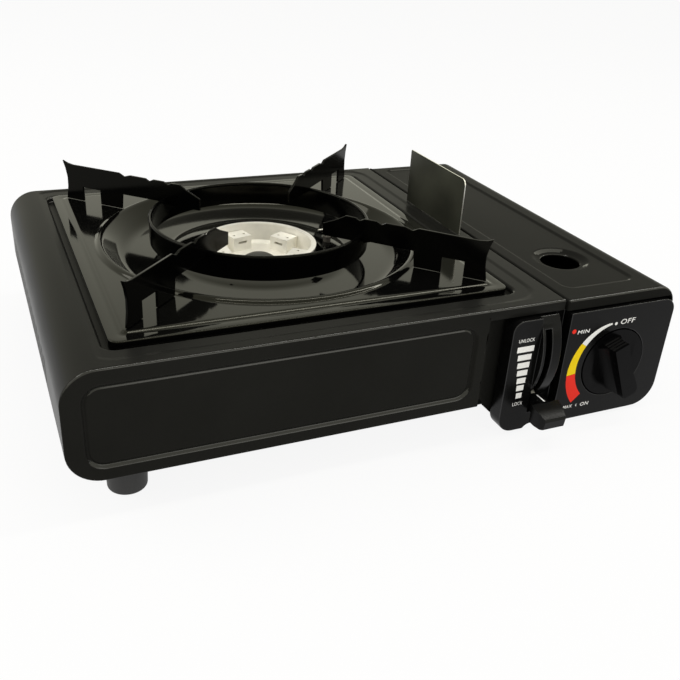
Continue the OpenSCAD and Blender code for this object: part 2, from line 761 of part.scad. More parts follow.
module regulator_body() {
    color(zinc) difference() {
        union() {
            rod_y(deep(reg_front_d), deep(reg_back_d), bay_mid, bay_axis_h, reg_r);
            rod_x(bay_mid, reg_cover_x, deep(reg_mid_d), bay_axis_h, 12.8);
            rod_x(bay_mid - 22, bay_mid, deep(pipe_d), tube_h, pipe_r + 3);
            block([bay_mid - 12, deep(reg_front_d), bay_axis_h - 27],
                  [bay_mid + 12, deep(reg_front_d + 6), bay_axis_h]);
        }
        rod_y(deep(reg_front_d) - 1, deep(reg_front_d + 5), bay_mid, knob_axis_h, spindle_r + 0.05);
        rod_y(deep(reg_back_d - inlet_l), deep(reg_back_d) + 1, bay_mid, bay_axis_h, inlet_r);
        rod_y(deep(reg_back_d - inlet_l - seal_t), deep(reg_back_d), bay_mid, bay_axis_h, seal_r);
        rod_x(bay_mid - 23, bay_mid - 16, deep(pipe_d), tube_h, pipe_r + 0.05);
    }
}

module regulator_cover() {
    color(steel) union() {
        rod_x(reg_cover_x, reg_cover_x + 4, deep(reg_mid_d), bay_axis_h, 12.8);
        rod_x(reg_cover_x + 4, reg_cover_x + 5.5, deep(reg_mid_d), bay_axis_h, 6);
    }
}

module regulator_screws() {
    color(steel) for (x = [bay_mid - 8, bay_mid + 8])
        rod_y(deep(reg_front_d + 6), deep(reg_front_d + 8), x, bay_axis_h - 22, 2.6);
}

// Ring with the locating key that the cartridge's rim notch fits over
module cartridge_collar() {
    color(zinc) union() {
        difference() {
            rod_y(deep(reg_back_d), deep(collar_back_d), bay_mid, bay_axis_h, reg_r);
            rod_y(deep(reg_back_d) - 1, deep(collar_back_d) + 1, bay_mid, bay_axis_h, reg_r - 3);
        }
        block([bay_mid - 1.8, deep(reg_back_d), bay_axis_h + reg_r - 3.2],
              [bay_mid + 1.8, deep(collar_back_d + 5), bay_axis_h + reg_r - 1]);
    }
}

module inlet_seal() {
    color([0.15, 0.15, 0.16]) difference() {
        rod_y(deep(reg_back_d - inlet_l - seal_t), deep(reg_back_d - inlet_l), bay_mid,
              bay_axis_h, seal_r);
        rod_y(deep(reg_back_d - 2 * inlet_l), deep(reg_back_d), bay_mid, bay_axis_h, 1.6);
    }
}

// Angle that carries the regulator on the floor of the bay
module regulator_bracket() {
    color(steel) difference() {
        union() {
            block([bay_mid - 16, deep(reg_front_d - sheet), tub_floor_h],
                  [bay_mid + 16, deep(reg_front_d), bay_axis_h - 2]);
            block([bay_mid - 16, deep(reg_front_d - sheet), tub_floor_h],
                  [bay_mid + 16, deep(reg_back_d - 6), tub_floor_h + sheet]);
        }
        rod_y(deep(reg_front_d - sheet) - 1, deep(reg_front_d) + 1, bay_mid, knob_axis_h,
              spindle_r + 1);
    }
}

// ---- Gas way: pipe, jet, mixing tube and burner ----

jet_x = drum_at - 9;
mouth_x = jet_x - 4;
pipe_end_x = jet_x + 4;

module gas_pipe() {
    color(alloy) rod_x(pipe_end_x, bay_mid - 16.2, deep(pipe_d), tube_h, pipe_r);
}

module pipe_nuts() {
    color(brass) for (x = [bay_mid - 27.5, pipe_end_x])
        difference() {
            translate([x, deep(pipe_d), tube_h]) rotate([0, 90, 0])
                cylinder(h = 5.4, r = pipe_r + 2, $fn = 6);
            rod_x(x - 1, x + 7, deep(pipe_d), tube_h, pipe_r);
        }
}

module gas_jet() {
    color(brass) difference() {
        union() {
            rod_x(jet_x, pipe_end_x, deep(pipe_d), tube_h, pipe_r + 1.4);
            rod_x(mouth_x - 4, jet_x, deep(pipe_d), tube_h, 2);
        }
        rod_x(mouth_x - 5, pipe_end_x + 1, deep(pipe_d), tube_h, 0.6);
    }
}

base_r = 30;
base_stub = 8;
base_low_h = belly_h + 2 * sheet + 3;
bowl_low_h = bowl_top_h - bowl_h;
tube_wall = 1.2;

// Straight run from the jet, a quarter bend, and a straight run into the burner's base
module tube_path(r, extra) {
    bend_x = burner_mid + tube_bend_r;
    rod_x(bend_x, mouth_x + extra, deep(pipe_d), tube_h, r);
    translate([bend_x, deep(pipe_d + tube_bend_r), tube_h]) rotate([0, 0, 180])
        rotate_extrude(angle = 90) translate([tube_bend_r, 0]) circle(r);
    rod_y(deep(pipe_d + tube_bend_r), burner_y - base_r - base_stub + extra, burner_mid, tube_h, r);
}

module mixing_tube() {
    color(alloy) difference() {
        tube_path(tube_r, 0);
        tube_path(tube_r - tube_wall, 1);
    }
}

// Sleeve on the tube's mouth that sets how much air it draws
module air_shutter() {
    color(steel) difference() {
        rod_x(mouth_x - 12, mouth_x + 0.5, deep(pipe_d), tube_h, tube_r + 0.8);
        rod_x(mouth_x - 13, mouth_x + 1, deep(pipe_d), tube_h, tube_r);
        block([mouth_x - 8, deep(pipe_d) - 5, tube_h + 5], [mouth_x - 3, deep(pipe_d) + 5, 60]);
    }
}

module burner_base() {
    color(alloy) difference() {
        union() {
            rod_z(base_low_h, bowl_low_h - 6, burner_mid, burner_y, base_r);
            rod_z(bowl_low_h - 6, bowl_low_h, burner_mid, burner_y, base_r - 8);
            rod_y(burner_y - base_r - base_stub, burner_y, burner_mid, tube_h, tube_r);
        }
        rod_z(base_low_h + 2, bowl_low_h - 8, burner_mid, burner_y, base_r - 2.4);
        rod_z(base_low_h + 2, bowl_low_h + 1, burner_mid, burner_y, base_r - 11);
        rod_y(burner_y - base_r - base_stub - 1, burner_y - base_r + 4, burner_mid, tube_h,
              tube_r - tube_wall);
    }
}

bowl_floor_h = bowl_top_h - 12.5;
port_block_h = 8.9;
port_hole_r = 0.9;

module burner_bowl() {
    color(alloy) translate([burner_mid, burner_y, 0]) difference() {
        union() {
            rotate_extrude()
                polygon([[8, bowl_low_h], [base_r - 9, bowl_low_h], [bowl_r - 2.5, bowl_floor_h - 1],
                         [bowl_r - 1.5, bowl_top_h - 2], [bowl_r, bowl_top_h - 1.2],
                         [bowl_r, bowl_top_h], [bowl_r - 3, bowl_top_h],
                         [bowl_r - 4.5, bowl_floor_h + 2], [bowl_r - 6.5, bowl_floor_h],
                         [8, bowl_floor_h]]);
            for (i = [0:port_n - 1]) rotate([0, 0, 33 + i * 360 / port_n])
                block([19, -6.5, bowl_floor_h - 1], [30, 6.5, bowl_floor_h + port_block_h]);
        }
        for (i = [0:port_n - 1]) rotate([0, 0, 33 + i * 360 / port_n]) {
            for (y = [-3.6, 3.6]) rod_z(bowl_floor_h + 3.5, bowl_top_h, 23.6, y, port_hole_r);
            block([18, -3, bowl_floor_h + 4.6], [22, 3, bowl_floor_h + 6]);
        }
    }
}

module burner_cap() {
    color([0.2, 0.2, 0.2]) translate([burner_mid, burner_y, 0]) rotate_extrude()
        polygon([[0, bowl_low_h + 3], [7.8, bowl_low_h + 3], [7.8, bowl_floor_h],
                 [10, bowl_floor_h], [10, bowl_floor_h + 1.4], [7, bowl_floor_h + 3.2],
                 [0, bowl_floor_h + 4]]);
}

bracket_l = 92;
module burner_bracket() {
    low = plate_low_h + sheet;
    color(steel) union() {
        block([burner_mid - bracket_l / 2, burner_y - 10, base_low_h - sheet],
              [burner_mid + bracket_l / 2, burner_y + 10, base_low_h]);
        for (s = [-1, 1]) {
            x = burner_mid + s * (bracket_l / 2 + 4) - 5;
            block([x, burner_y - 10, low], [x + 10, burner_y + 10, low + sheet]);
            edge = burner_mid + s * (bracket_l / 2 - sheet / 2) - sheet / 2;
            block([edge, burner_y - 10, low], [edge + sheet, burner_y + 10, base_low_h]);
        }
    }
}

module burner_screws() {
    low = plate_low_h + 2 * sheet;
    color(steel) for (s = [-1, 1]) {
        x = burner_mid + s * (bracket_l / 2 + 5);
        rod_z(low, low + 1.8, x, burner_y, 3);
    }
}

// ---- Ignition ----

electrode_x = burner_mid + 44.6;
electrode_r = 2.4;
electrode_top_h = 78;
electrode_low_h = 50;

module electrode() {
    color([0.92, 0.91, 0.87]) difference() {
        rod_z(electrode_low_h, electrode_top_h, electrode_x, burner_y, electrode_r);
        rod_z(electrode_low_h - 1, electrode_top_h + 1, electrode_x, burner_y, 0.75);
    }
}

// Wire that bends from the ceramic towards the bowl's rim
module electrode_tip() {
    bend = 3;
    up = electrode_top_h + 1.4;
    color(steel) union() {
        rod_z(electrode_low_h - 2, up, electrode_x, burner_y, 0.75);
        translate([electrode_x - bend, burner_y, up]) rotate([90, 0, 0])
            rotate_extrude(angle = 90) translate([bend, 0]) circle(0.75);
        rod_x(electrode_x - bend - 3.2, electrode_x - bend, burner_y, up + bend, 0.75);
    }
}

// Clip from the burner's base that holds the ceramic
module electrode_clip() {
    z = bowl_low_h - 6;
    color(steel) difference() {
        union() {
            block([burner_mid + base_r - 9, burner_y - 5, z], [electrode_x, burner_y + 5, z + sheet]);
            rod_z(z, z + sheet, electrode_x, burner_y, 5);
        }
        rod_z(z - 1, z + 2, electrode_x, burner_y, electrode_r);
        rod_z(z - 1, z + 2, burner_mid, burner_y, base_r - 8);
    }
}

// Lead from the igniter through the partition to the electrode
lead_r = 1.4;
lead_hole_d = 16.5;
lead_hole_h = lid_lip_h - 2;
lead_route = [[bay_mid - 7, tub_front_d + 5, 66], [118, 13, 67], [104, 14, 69.5], [96, 15, 71.6],
              [88, 18, 72.2], [78, 24, 71], [66, 34, 66], [50, 52, 60], [34, 74, 55], [20, 96, 50],
              [11, 114, 46], [electrode_x, burner_d, 44], [electrode_x, burner_d, 48]];
function unit(v) = v / norm(v);
function lead_dir(i) = unit(lead_route[min(i + 1, len(lead_route) - 1)] - lead_route[max(i - 1, 0)]);
function lead_ring(i, n) =
    let (d = lead_dir(i), side = unit(cross(d, [0.3, 0.5, 0.2])), up = cross(side, d))
    [for (k = [0:n - 1]) [lead_route[i][0], deep(lead_route[i][1]), lead_route[i][2]]
        + lead_r * (cos(360 * k / n) * side + sin(360 * k / n) * up)];

module ignition_lead() {
    n = 8;
    m = len(lead_route);
    points = [for (i = [0:m - 1]) each lead_ring(i, n)];
    faces = [[for (k = [0:n - 1]) k], [for (k = [n - 1:-1:0]) (m - 1) * n + k],
             for (i = [0:m - 2], k = [0:n - 1])
                 [i * n + k, (i + 1) * n + k, (i + 1) * n + (k + 1) % n, i * n + (k + 1) % n]];
    color([0.75, 0.1, 0.08]) polyhedron(points, faces, convexity = 6);
}

// Strip that brings a little heat from the burner to the cartridge
module heat_transfer_strip() {
    x0 = burner_mid + bowl_r + 18;
    color(alloy) union() {
        block([x0, deep(strip_d), strip_h], [partition_at + sheet + 1.1, deep(strip_d + strip_w),
              strip_h + sheet]);
        block([partition_at + sheet + 0.3, deep(strip_d), 26],
              [partition_at + sheet + 1.1, deep(strip_d + strip_w), strip_h + sheet]);
        block([x0, deep(strip_d), strip_h], [x0 + sheet, deep(strip_d + strip_w), strip_h + 6]);
        block([x0, deep(strip_d + strip_w) - 6, plate_low_h + sheet],
              [x0 + sheet, deep(strip_d + strip_w), strip_h + sheet]);
    }
}

// ---- Drip tray ----

rim_top_h = body_h + tray_rim_up;
flat_h = rim_top_h + tray_flat_up;
ridge_h = flat_h + ridge_up;
floor_h = ridge_h - dish_h;
flat_w = tray_w - 2 * tray_rim_w;

// Upper face of the dish as radius and height, from outside to inside
function dish_line() = [[dish_r + 3.4, flat_h], [dish_r + 1.4, ridge_h - 0.5], [dish_r, ridge_h],
    [dish_r - 1.6, ridge_h - 0.6], [floor_r + 4, floor_h + 1.6], [floor_r, floor_h],
    [56, floor_h], [52, floor_h + 1.2], [burner_hole_r + 1, floor_h + 3], [burner_hole_r, floor_h + 3]];

module drip_tray() {
    skirt_low = shelf_top_h + play;
    line = dish_line();
    n = len(line);
    color(enamel) translate([burner_mid, burner_y, 0]) difference() {
        union() {
            difference() {
                union() {
                    translate([0, 0, skirt_low]) linear_extrude(rim_top_h - skirt_low)
                        rounded(tray_w, tray_w, tray_r);
                    translate([0, 0, rim_top_h - sheet]) linear_extrude(flat_h - rim_top_h + sheet)
                        rounded(flat_w, flat_w, tray_r);
                }
                translate([0, 0, skirt_low - 1]) linear_extrude(rim_top_h - skirt_low + 1 - sheet)
                    rounded(tray_w - 2 * sheet, tray_w - 2 * sheet, tray_r - sheet);
                translate([0, 0, rim_top_h - 2 * sheet])
                    linear_extrude(flat_h - rim_top_h + sheet)
                        rounded(flat_w - 2 * sheet, flat_w - 2 * sheet, tray_r - sheet);
                rod_z(0, flat_h + 1, 0, 0, dish_r + 2.6);
            }
            rotate_extrude($fn = 96)
                polygon([each line, for (i = [n - 1:-1:0]) line[i] - [0, sheet]]);
        }
        rod_z(floor_h - 4, floor_h + 6, electrode_x - burner_mid, 0, electrode_r + 2.2);
    }
}

// ---- Trivet ----

ring_top_h = flat_h + ring_up;
arm_low_h = flat_h + play;
arm_top_h = flat_h + arm_up;
arm_under_h = arm_low_h + arm_gap_h;

module trivet_ring() {
    bead = 1.1;
    mid_r = ring_r - trivet_t / 2;
    color(enamel) translate([burner_mid, burner_y, 0]) difference() {
        rotate_extrude($fn = 96) {
            translate([ring_r - trivet_t, ring_top_h - ring_h]) square([trivet_t, ring_h - bead]);
            translate([mid_r, ring_top_h - bead]) circle(bead, $fn = 24);
        }
        for (a = [45:90:315]) rotate([0, 0, a])
            block([ring_r - 6, -trivet_t / 2, ring_top_h - 4], [ring_r + 6, trivet_t / 2, 120]);
    }
}

// Arm outline as radius and height: nose, notched pan edge, horn, and two legs.
// The notches go with the ring, the legs and the horn with the arm's tip
module arm_outline() {
    top = arm_top_h;
    dip = arm_top_h - pan_notch;
    span = arm_reach - ring_r;
    near = ring_r + 0.151 * span;
    far = ring_r + 0.393 * span;
    leg = arm_reach - 14.5;
    polygon([[arm_nose, arm_under_h - 1], [arm_nose, top - 7.2], [arm_nose + 9, top - 3.2],
             [ring_r - 10.5, top - 0.2], [ring_r - 4.5, top - 0.4], [ring_r - 2, dip],
             [ring_r + 1, top - 0.2], [near - 3, top - 0.2], [near, dip], [near + 2.6, top - 0.3],
             [far - 4.4, top - 0.3], [far, dip], [far + 3.6, top + 0.1], [leg - 7, top],
             [leg + 7, top - 0.2], [leg + 11, top + 0.4], [arm_reach, top + 1.8],
             [arm_reach - 1.7, top - 3], [arm_reach - 2.8, top - 9],
             [arm_reach - 2.6, top - 15], [arm_reach - 1.2, arm_low_h],
             [leg, arm_low_h], [leg, arm_under_h - 0.4], [leg - 13, arm_under_h - 0.4],
             [leg - 13, arm_low_h], [leg - 29, arm_low_h], [leg - 30, arm_under_h],
             [ring_r + 5.5, arm_under_h + 0.2],
             [ring_r + 1.2, ring_top_h - 5], [ring_r + 1.2, ring_top_h - 4],
             [ring_r - trivet_t - 1.2, ring_top_h - 4], [ring_r - trivet_t - 1.2, ring_top_h - 5],
             [ring_r - 8.5, arm_under_h - 1]]);
}

module trivet_arm(angle) {
    color(enamel) translate([burner_mid, burner_y, 0]) rotate([0, 0, angle])
        along_y(-trivet_t / 2, trivet_t / 2) arm_outline();
}
module trivet_arm_left_front() {
    trivet_arm(225);
}
module trivet_arm_right_front() {
    trivet_arm(315);
}
module trivet_arm_left_back() {
    trivet_arm(135);
}
module trivet_arm_right_back() {
    trivet_arm(45);
}

// ---- Heat shield between burner and cartridge lid ----

module heat_shield() {
    low = body_h + play;
    y0 = deep(shield_d);
    y1 = y0 + shield_l;
    high = low + shield_up;
    color([0.5, 0.48, 0.45]) along_x(shield_at - sheet / 2, shield_at + sheet / 2) union() {
        translate([y0, low]) square([shield_l, shield_up - max(shield_r, shield_back_r)]);
        translate([y0 + shield_r, low]) square([shield_l - shield_r - shield_back_r, shield_up]);
        translate([y0 + shield_l / 2, low]) square([shield_l / 2, shield_up - shield_back_r]);
        translate([y0 + shield_r, high - shield_r]) circle(shield_r);
        translate([y1 - shield_back_r, high - shield_back_r]) circle(shield_back_r);
        for (d = [tab_in, shield_l - tab_in - tab_l])
            translate([y0 + d, low - tab_h]) square([tab_l, tab_h + 1]);
    }
}

// ---- Lock lever, its shaft and the slide that it moves ----

bearing_x = drum_at - 3;
drive_x = partition_at + sheet + 4.6;
neck_r = drum_r + 0.7;
blade_end_r = neck_r + 7;
stem_w = 5.8;
stem_out = paddle_out - 11.5;

// Puts children that point level to the front at the locked angle about the pivot
module lever_pose() {
    translate([0, deep(pivot_d), pivot_h]) rotate([lock_deg, 0, 0]) children();
}

// The flat tongue of the blade, a little larger where it cuts the moulded grip
module blade_tongue(x0, x1) {
    lever_pose() block([x0, -blade_end_r, -blade_w / 2], [x1, -4, blade_w / 2]);
}

module lock_lever() {
    hub_r = 6.4;
    color(steel) difference() {
        union() {
            rod_x(blade_x, blade_x + blade_t, deep(pivot_d), pivot_h, hub_r);
            blade_tongue(blade_x, blade_x + blade_t);
        }
        rod_x(blade_x - 1, blade_x + blade_t + 1, deep(pivot_d), pivot_h, shaft_r);
    }
}

// Moulded grip pushed on the blade's end: a stem and a wide paddle, drawn as it lies when locked
module lever_paddle() {
    mid = blade_x + blade_t / 2;
    top = paddle_top_h;
    low = paddle_low_h;
    out = paddle_out;
    color(black) difference() {
        union() {
            along_x(mid - stem_w / 2, mid + stem_w / 2)
                polygon([[deep(-panel_out - 0.6), low + 1.4], [deep(-panel_out - 0.6), low + 4],
                         [deep(0.6), top], [deep(-stem_out - 1), top], [deep(-stem_out - 1), low]]);
            intersection() {
                along_x(mid - paddle_w / 2, mid + paddle_w / 2)
                    polygon([[deep(-stem_out), low + 0.4], [deep(-stem_out), top],
                             [deep(-out + 5), top - 1.8], [deep(-out + 0.8), top - 4],
                             [deep(-out), top - 5.4], [deep(-out + 1), low + 0.8],
                             [deep(-out + 3), low]]);
                linear_extrude(pivot_h)
                    polygon([[mid - paddle_w / 2, deep(0)], [mid - paddle_w / 2, deep(-out + 7)],
                             [mid - paddle_w / 2 + 2, deep(-out) - 0.1],
                             [mid + paddle_w / 2 - 2, deep(-out) - 0.1],
                             [mid + paddle_w / 2, deep(-out + 7)], [mid + paddle_w / 2, deep(0)]]);
            }
        }
        rod_x(mid - paddle_w, mid + paddle_w, deep(pivot_d), pivot_h, neck_r);
        blade_tongue(blade_x, blade_x + blade_t);
    }
}

module lever_shaft() {
    color(steel) rod_x(bearing_x + 0.1, drive_x + blade_t, deep(pivot_d), pivot_h, shaft_r);
}

swing_deg = (lock_deg + unlock_deg) / 2;
drive_pin_x0 = partition_at + sheet + 0.6;

// Arm on the shaft's inner end: upright when the lever is half way
module drive_arm() {
    color(steel) translate([0, deep(pivot_d), pivot_h]) rotate([swing_deg, 0, 0]) difference() {
        union() {
            rod_x(drive_x, drive_x + blade_t, 0, 0, 5.4);
            block([drive_x, -3.2, 0], [drive_x + blade_t, 3.2, drive_l]);
            rod_x(drive_x, drive_x + blade_t, 0, drive_l, 3.2);
            rod_x(drive_pin_x0, drive_x + eps, 0, drive_l, drive_pin_r);
        }
        rod_x(drive_x - 1, drive_x + blade_t + 1, 0, 0, shaft_r);
    }
}

// Post on the tub's floor with the outer bearing of the lever's shaft
module lever_bearing() {
    color(steel) difference() {
        union() {
            block([bearing_x, deep(pivot_d - 3), tub_floor_h],
                  [bearing_x + 2, deep(pivot_d + 7), pivot_h]);
            rod_x(bearing_x, bearing_x + 2, deep(pivot_d), pivot_h, 7);
            block([bearing_x - 5, deep(pivot_d - 3), tub_floor_h],
                  [bearing_x + 1, deep(pivot_d + 7), tub_floor_h + 2]);
        }
        rod_x(bearing_x - 1, bearing_x + 3, deep(pivot_d), pivot_h, shaft_r + 0.05);
    }
}

slide_x = partition_at + sheet + 1.7;
slide_t = 1.2;
slide_low_h = pivot_h + 9;
slide_top_h = pivot_h + 20;
pin_d = pivot_d - drive_l * sin(swing_deg);
pin_low_h = pivot_h + drive_l * cos(swing_deg);
cartridge_back_d = collar_back_d + cartridge_l - 4;
pusher_d = cartridge_back_d + 1;

// Flat bar with a tall slot for the drive pin, and a plate behind the cartridge
module cartridge_slide() {
    color(steel) difference() {
        union() {
            block([slide_x, deep(pin_d - 8), slide_low_h],
                  [slide_x + slide_t, deep(pusher_d + slide_t), slide_top_h]);
            block([slide_x, deep(pusher_d), tub_floor_h + play],
                  [slide_x + 44, deep(pusher_d + slide_t), slide_top_h]);
            block([slide_x, deep(pusher_d - 18), tub_floor_h + play],
                  [slide_x + slide_t, deep(pusher_d + slide_t), slide_top_h]);
        }
        block([slide_x - 1, deep(pin_d) - drive_pin_r - 0.25, pin_low_h - drive_pin_r - 0.4],
              [slide_x + slide_t + 1, deep(pin_d) + drive_pin_r + 0.25,
               pivot_h + drive_l + drive_pin_r + 0.4]);
        rod_y(deep(pusher_d) - 1, deep(pusher_d + slide_t) + 1, bay_mid - 10, bay_axis_h + 2, 9);
    }
}

// Clips on the partition that the slide's bar runs in
module slide_guides() {
    x1 = slide_x + slide_t;
    color(steel) for (d = [68, 130, 192]) difference() {
        block([partition_at + sheet, deep(d), slide_low_h - 2.2],
              [x1 + 1.6, deep(d + 10), slide_top_h + 2.2]);
        block([slide_x - play, deep(d) - 1, slide_low_h - play],
              [x1 + play, deep(d + 10) + 1, slide_top_h + play]);
        block([partition_at + sheet + 0.8, deep(d) - 1, slide_low_h + 2],
              [x1 + 3, deep(d + 10) + 1, slide_top_h - 2]);
    }
}

// Two low saddles on the bay's floor that centre the cartridge
module cartridge_cradle() {
    color(steel) for (d = [84, 196]) difference() {
        block([bay_mid - 22, deep(d), tub_floor_h], [bay_mid + 22, deep(d + 6), tub_floor_h + 7]);
        rod_y(deep(d) - 1, deep(d + 6) + 1, bay_mid, bay_axis_h, cartridge_r + 0.4);
    }
}

// ---- Feet and fasteners ----

module tall_foot(d) {
    x = left_x + foot_in_x;
    color(black) translate([x, deep(d), 0]) rotate_extrude()
        polygon([[0, 3], [4, 3], [4, 0], [foot_r - 1.4, 0], [foot_r - 0.6, 0.8],
                 [foot_r, belly_h - 3], [foot_r, belly_h], [0, belly_h]]);
}
module foot_left_front() {
    tall_foot(foot_in_y);
}
module foot_left_back() {
    tall_foot(body_d - foot_in_y);
}

module pad_foot(d) {
    color(black) translate([bay_mid + 14, deep(d), 0]) rotate_extrude()
        polygon([[0, 1.2], [3, 1.2], [3, 0], [pad_r - 0.8, 0], [pad_r, 0.8], [pad_r, bay_h],
                 [0, bay_h]]);
}
module foot_right_front() {
    pad_foot(foot_in_y + 8);
}
module foot_right_back() {
    pad_foot(body_d - foot_in_y);
}

module foot_screws() {
    color(steel) {
        for (d = [foot_in_y, body_d - foot_in_y])
            rod_z(1.2, 3, left_x + foot_in_x, deep(d), 3.4);
        for (d = [foot_in_y + 8, body_d - foot_in_y])
            rod_z(0.4, 1.2, bay_mid + 14, deep(d), 2.4);
    }
}

module panel_screws() {
    color(steel) for (p = panel_boss) {
        rod_y(deep(tub_front_d + sheet), deep(tub_front_d + sheet + 1.6), p[0], p[1], 2.6);
    }
}

module base_screws() {
    low = belly_h - 1.4;
    color(steel) for (x = [left_x + wrap_r + 6], d = [foot_in_y + 30, body_d - foot_in_y - 30])
        rod_z(low, belly_h, x, deep(d), 2.8);
}

body_shell();
base_pan();
bay_partition();
cartridge_lid();
hinge_pin();
control_panel();
control_knob();
valve_spindle();
igniter_cam();
igniter_body();
igniter_plunger();
regulator_body();
regulator_cover();
regulator_screws();
cartridge_collar();
inlet_seal();
regulator_bracket();
gas_pipe();
pipe_nuts();
gas_jet();
mixing_tube();
air_shutter();
burner_base();
burner_bowl();
burner_cap();
burner_bracket();
burner_screws();
electrode();
electrode_tip();
electrode_clip();
ignition_lead();
heat_transfer_strip();
drip_tray();
trivet_ring();
trivet_arm_left_front();
trivet_arm_right_front();
trivet_arm_left_back();
trivet_arm_right_back();
heat_shield();
lock_lever();
lever_paddle();
lever_shaft();
drive_arm();
lever_bearing();
cartridge_slide();
slide_guides();
cartridge_cradle();
foot_left_front();
foot_left_back();
foot_right_front();
foot_right_back();
foot_screws();
panel_screws();
base_screws();
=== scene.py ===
import math

import bmesh
import bpy
import numpy as np
from mathutils import Matrix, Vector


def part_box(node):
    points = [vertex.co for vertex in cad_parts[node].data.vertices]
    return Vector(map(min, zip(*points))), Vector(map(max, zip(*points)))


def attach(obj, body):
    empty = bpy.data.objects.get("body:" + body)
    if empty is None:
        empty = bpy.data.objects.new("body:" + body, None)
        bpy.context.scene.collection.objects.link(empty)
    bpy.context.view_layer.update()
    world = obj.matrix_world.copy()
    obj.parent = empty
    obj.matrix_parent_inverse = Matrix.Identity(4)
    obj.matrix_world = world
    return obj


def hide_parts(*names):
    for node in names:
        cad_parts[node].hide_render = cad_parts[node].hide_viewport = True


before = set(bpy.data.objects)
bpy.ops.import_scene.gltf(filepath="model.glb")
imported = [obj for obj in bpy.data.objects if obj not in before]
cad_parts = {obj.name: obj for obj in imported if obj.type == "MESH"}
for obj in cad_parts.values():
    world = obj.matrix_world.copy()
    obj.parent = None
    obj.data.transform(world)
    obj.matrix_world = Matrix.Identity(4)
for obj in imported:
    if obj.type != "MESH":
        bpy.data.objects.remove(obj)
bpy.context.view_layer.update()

# ---- Casing ----
# One sheet of 0.8 mm steel, pressed and rolled round the left side, painted satin black.
# The tray's recess, the sunk front panel and the air slots are pressed before the sheet is bent.

MM = 0.001
SHEET = 0.8


def corners(node):
    """Lowest and highest corner of a CAD node, in millimetres."""
    return np.array(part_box(node)) / MM


def crease_open_borders(mesh):
    """Marks each edge that has one face as sharp, so that the cut edge of the sheet doesn't bend
    the shading of the faces beside it."""
    edges = np.empty(len(mesh.loops), np.int32)
    mesh.loops.foreach_get("edge_index", edges)
    faces_at = np.bincount(edges, minlength=len(mesh.edges))
    sharp = mesh.attributes.get("sharp_edge")
    if sharp is None:
        sharp = mesh.attributes.new("sharp_edge", "BOOLEAN", "EDGE")
    marked = np.empty(len(mesh.edges), bool)
    sharp.data.foreach_get("value", marked)
    sharp.data.foreach_set("value", marked | (faces_at < 2))


def surface(name, grids, inside, closed=(), capped=(), words=(), sharp=30):
    """Mesh through grids of points in millimetres. Points (i, j), (i, j + 1), (i + 1, j + 1) and
    (i + 1, j) of a grid make one face. A grid in closed joins its last column to its first, and
    one in capped has its last row filled. A grid's faces point away from the point inside. Words
    are added as pairs of points and faces, and an edge bent by over sharp degrees is a sharp one."""
    verts, faces, start = [], [], 0
    heart = np.asarray(inside, float)
    for k, grid in enumerate(grids):
        grid = np.asarray(grid, float)
        m, n = grid.shape[:2]
        flat = grid.reshape(-1, 3)
        i, j = np.meshgrid(np.arange(m - 1), np.arange(n if k in closed else n - 1), indexing="ij")
        a, b = i * n + j, i * n + (j + 1) % n
        quads = np.stack([a, b, b + n, a + n], axis=-1).reshape(-1, 4)
        p = flat[quads]
        normal = np.cross(p[:, 2] - p[:, 0], p[:, 3] - p[:, 1])
        if (normal * (p.mean(1) - heart)).sum() < 0:
            quads = quads[:, ::-1]
        faces += (quads + start).tolist()
        if k in capped:
            loop = np.arange(n) + (m - 1) * n
            q = flat[loop]
            around = np.cross(q, np.roll(q, -1, 0)).sum(0)
            if (around * (q.mean(0) - heart)).sum() < 0:
                loop = loop[::-1]
            faces.append((loop + start).tolist())
        verts.append(flat)
        start += m * n
    for points, polygons in words:
        faces += [[v + start for v in polygon] for polygon in polygons]
        verts.append(points)
        start += len(points)
    mesh = bpy.data.meshes.new(name)
    mesh.from_pydata(np.concatenate(verts) * MM, [], faces)
    mesh.shade_smooth()
    mesh.set_sharp_from_angle(angle=math.radians(sharp))
    crease_open_borders(mesh)
    piece = bpy.data.objects.new(name, mesh)
    bpy.context.scene.collection.objects.link(piece)
    return piece


def walled(piece):
    """Gives a surface the thickness of its sheet, behind the side that shows."""
    solid = piece.modifiers.new("sheet thickness", "SOLIDIFY")
    solid.thickness = SHEET * MM
    solid.offset = -1


# Corner radii of a rectangle whose corners are as good as square
crisp_corners = [0.02] * 4


def rounded_ring(x0, x1, y0, y1, radii, arc, edge):
    """Points round a rectangle with round corners, from its lower left corner to the right.
    Each corner is a quarter of an ellipse, and the points of a side crowd towards its ends.
    Every ring has 4 (arc + 1 + edge) points in the same order, so that rings join."""
    r = np.asarray(radii, float)
    r = np.broadcast_to(r.reshape(-1, 1) if r.ndim < 2 else r, (4, 2))
    sign = np.array([[1, 1], [-1, 1], [-1, -1], [1, -1]])
    mid = np.array([[x0, y0], [x1, y0], [x1, y1], [x0, y1]]) + sign * r
    turn = math.pi * (1 + np.arange(4)[:, None] / 2) + np.linspace(0, math.pi / 2, arc + 1)
    arcs = mid[:, None] + r[:, None] * np.stack([np.cos(turn), np.sin(turn)], -1)
    t = (0.5 - 0.5 * np.cos(np.linspace(0, math.pi, edge + 2)[1:-1]))[None, :, None]
    sides = arcs[:, -1:] * (1 - t) + np.roll(arcs[:, :1], -1, 0) * t
    return np.concatenate([arcs, sides], 1).reshape(-1, 2)


def smooth(t):
    """0 below 0, 1 above 1 and 3 t^2 - 2 t^3 between."""
    t = np.clip(t, 0, 1)
    return t * t * (3 - 2 * t)


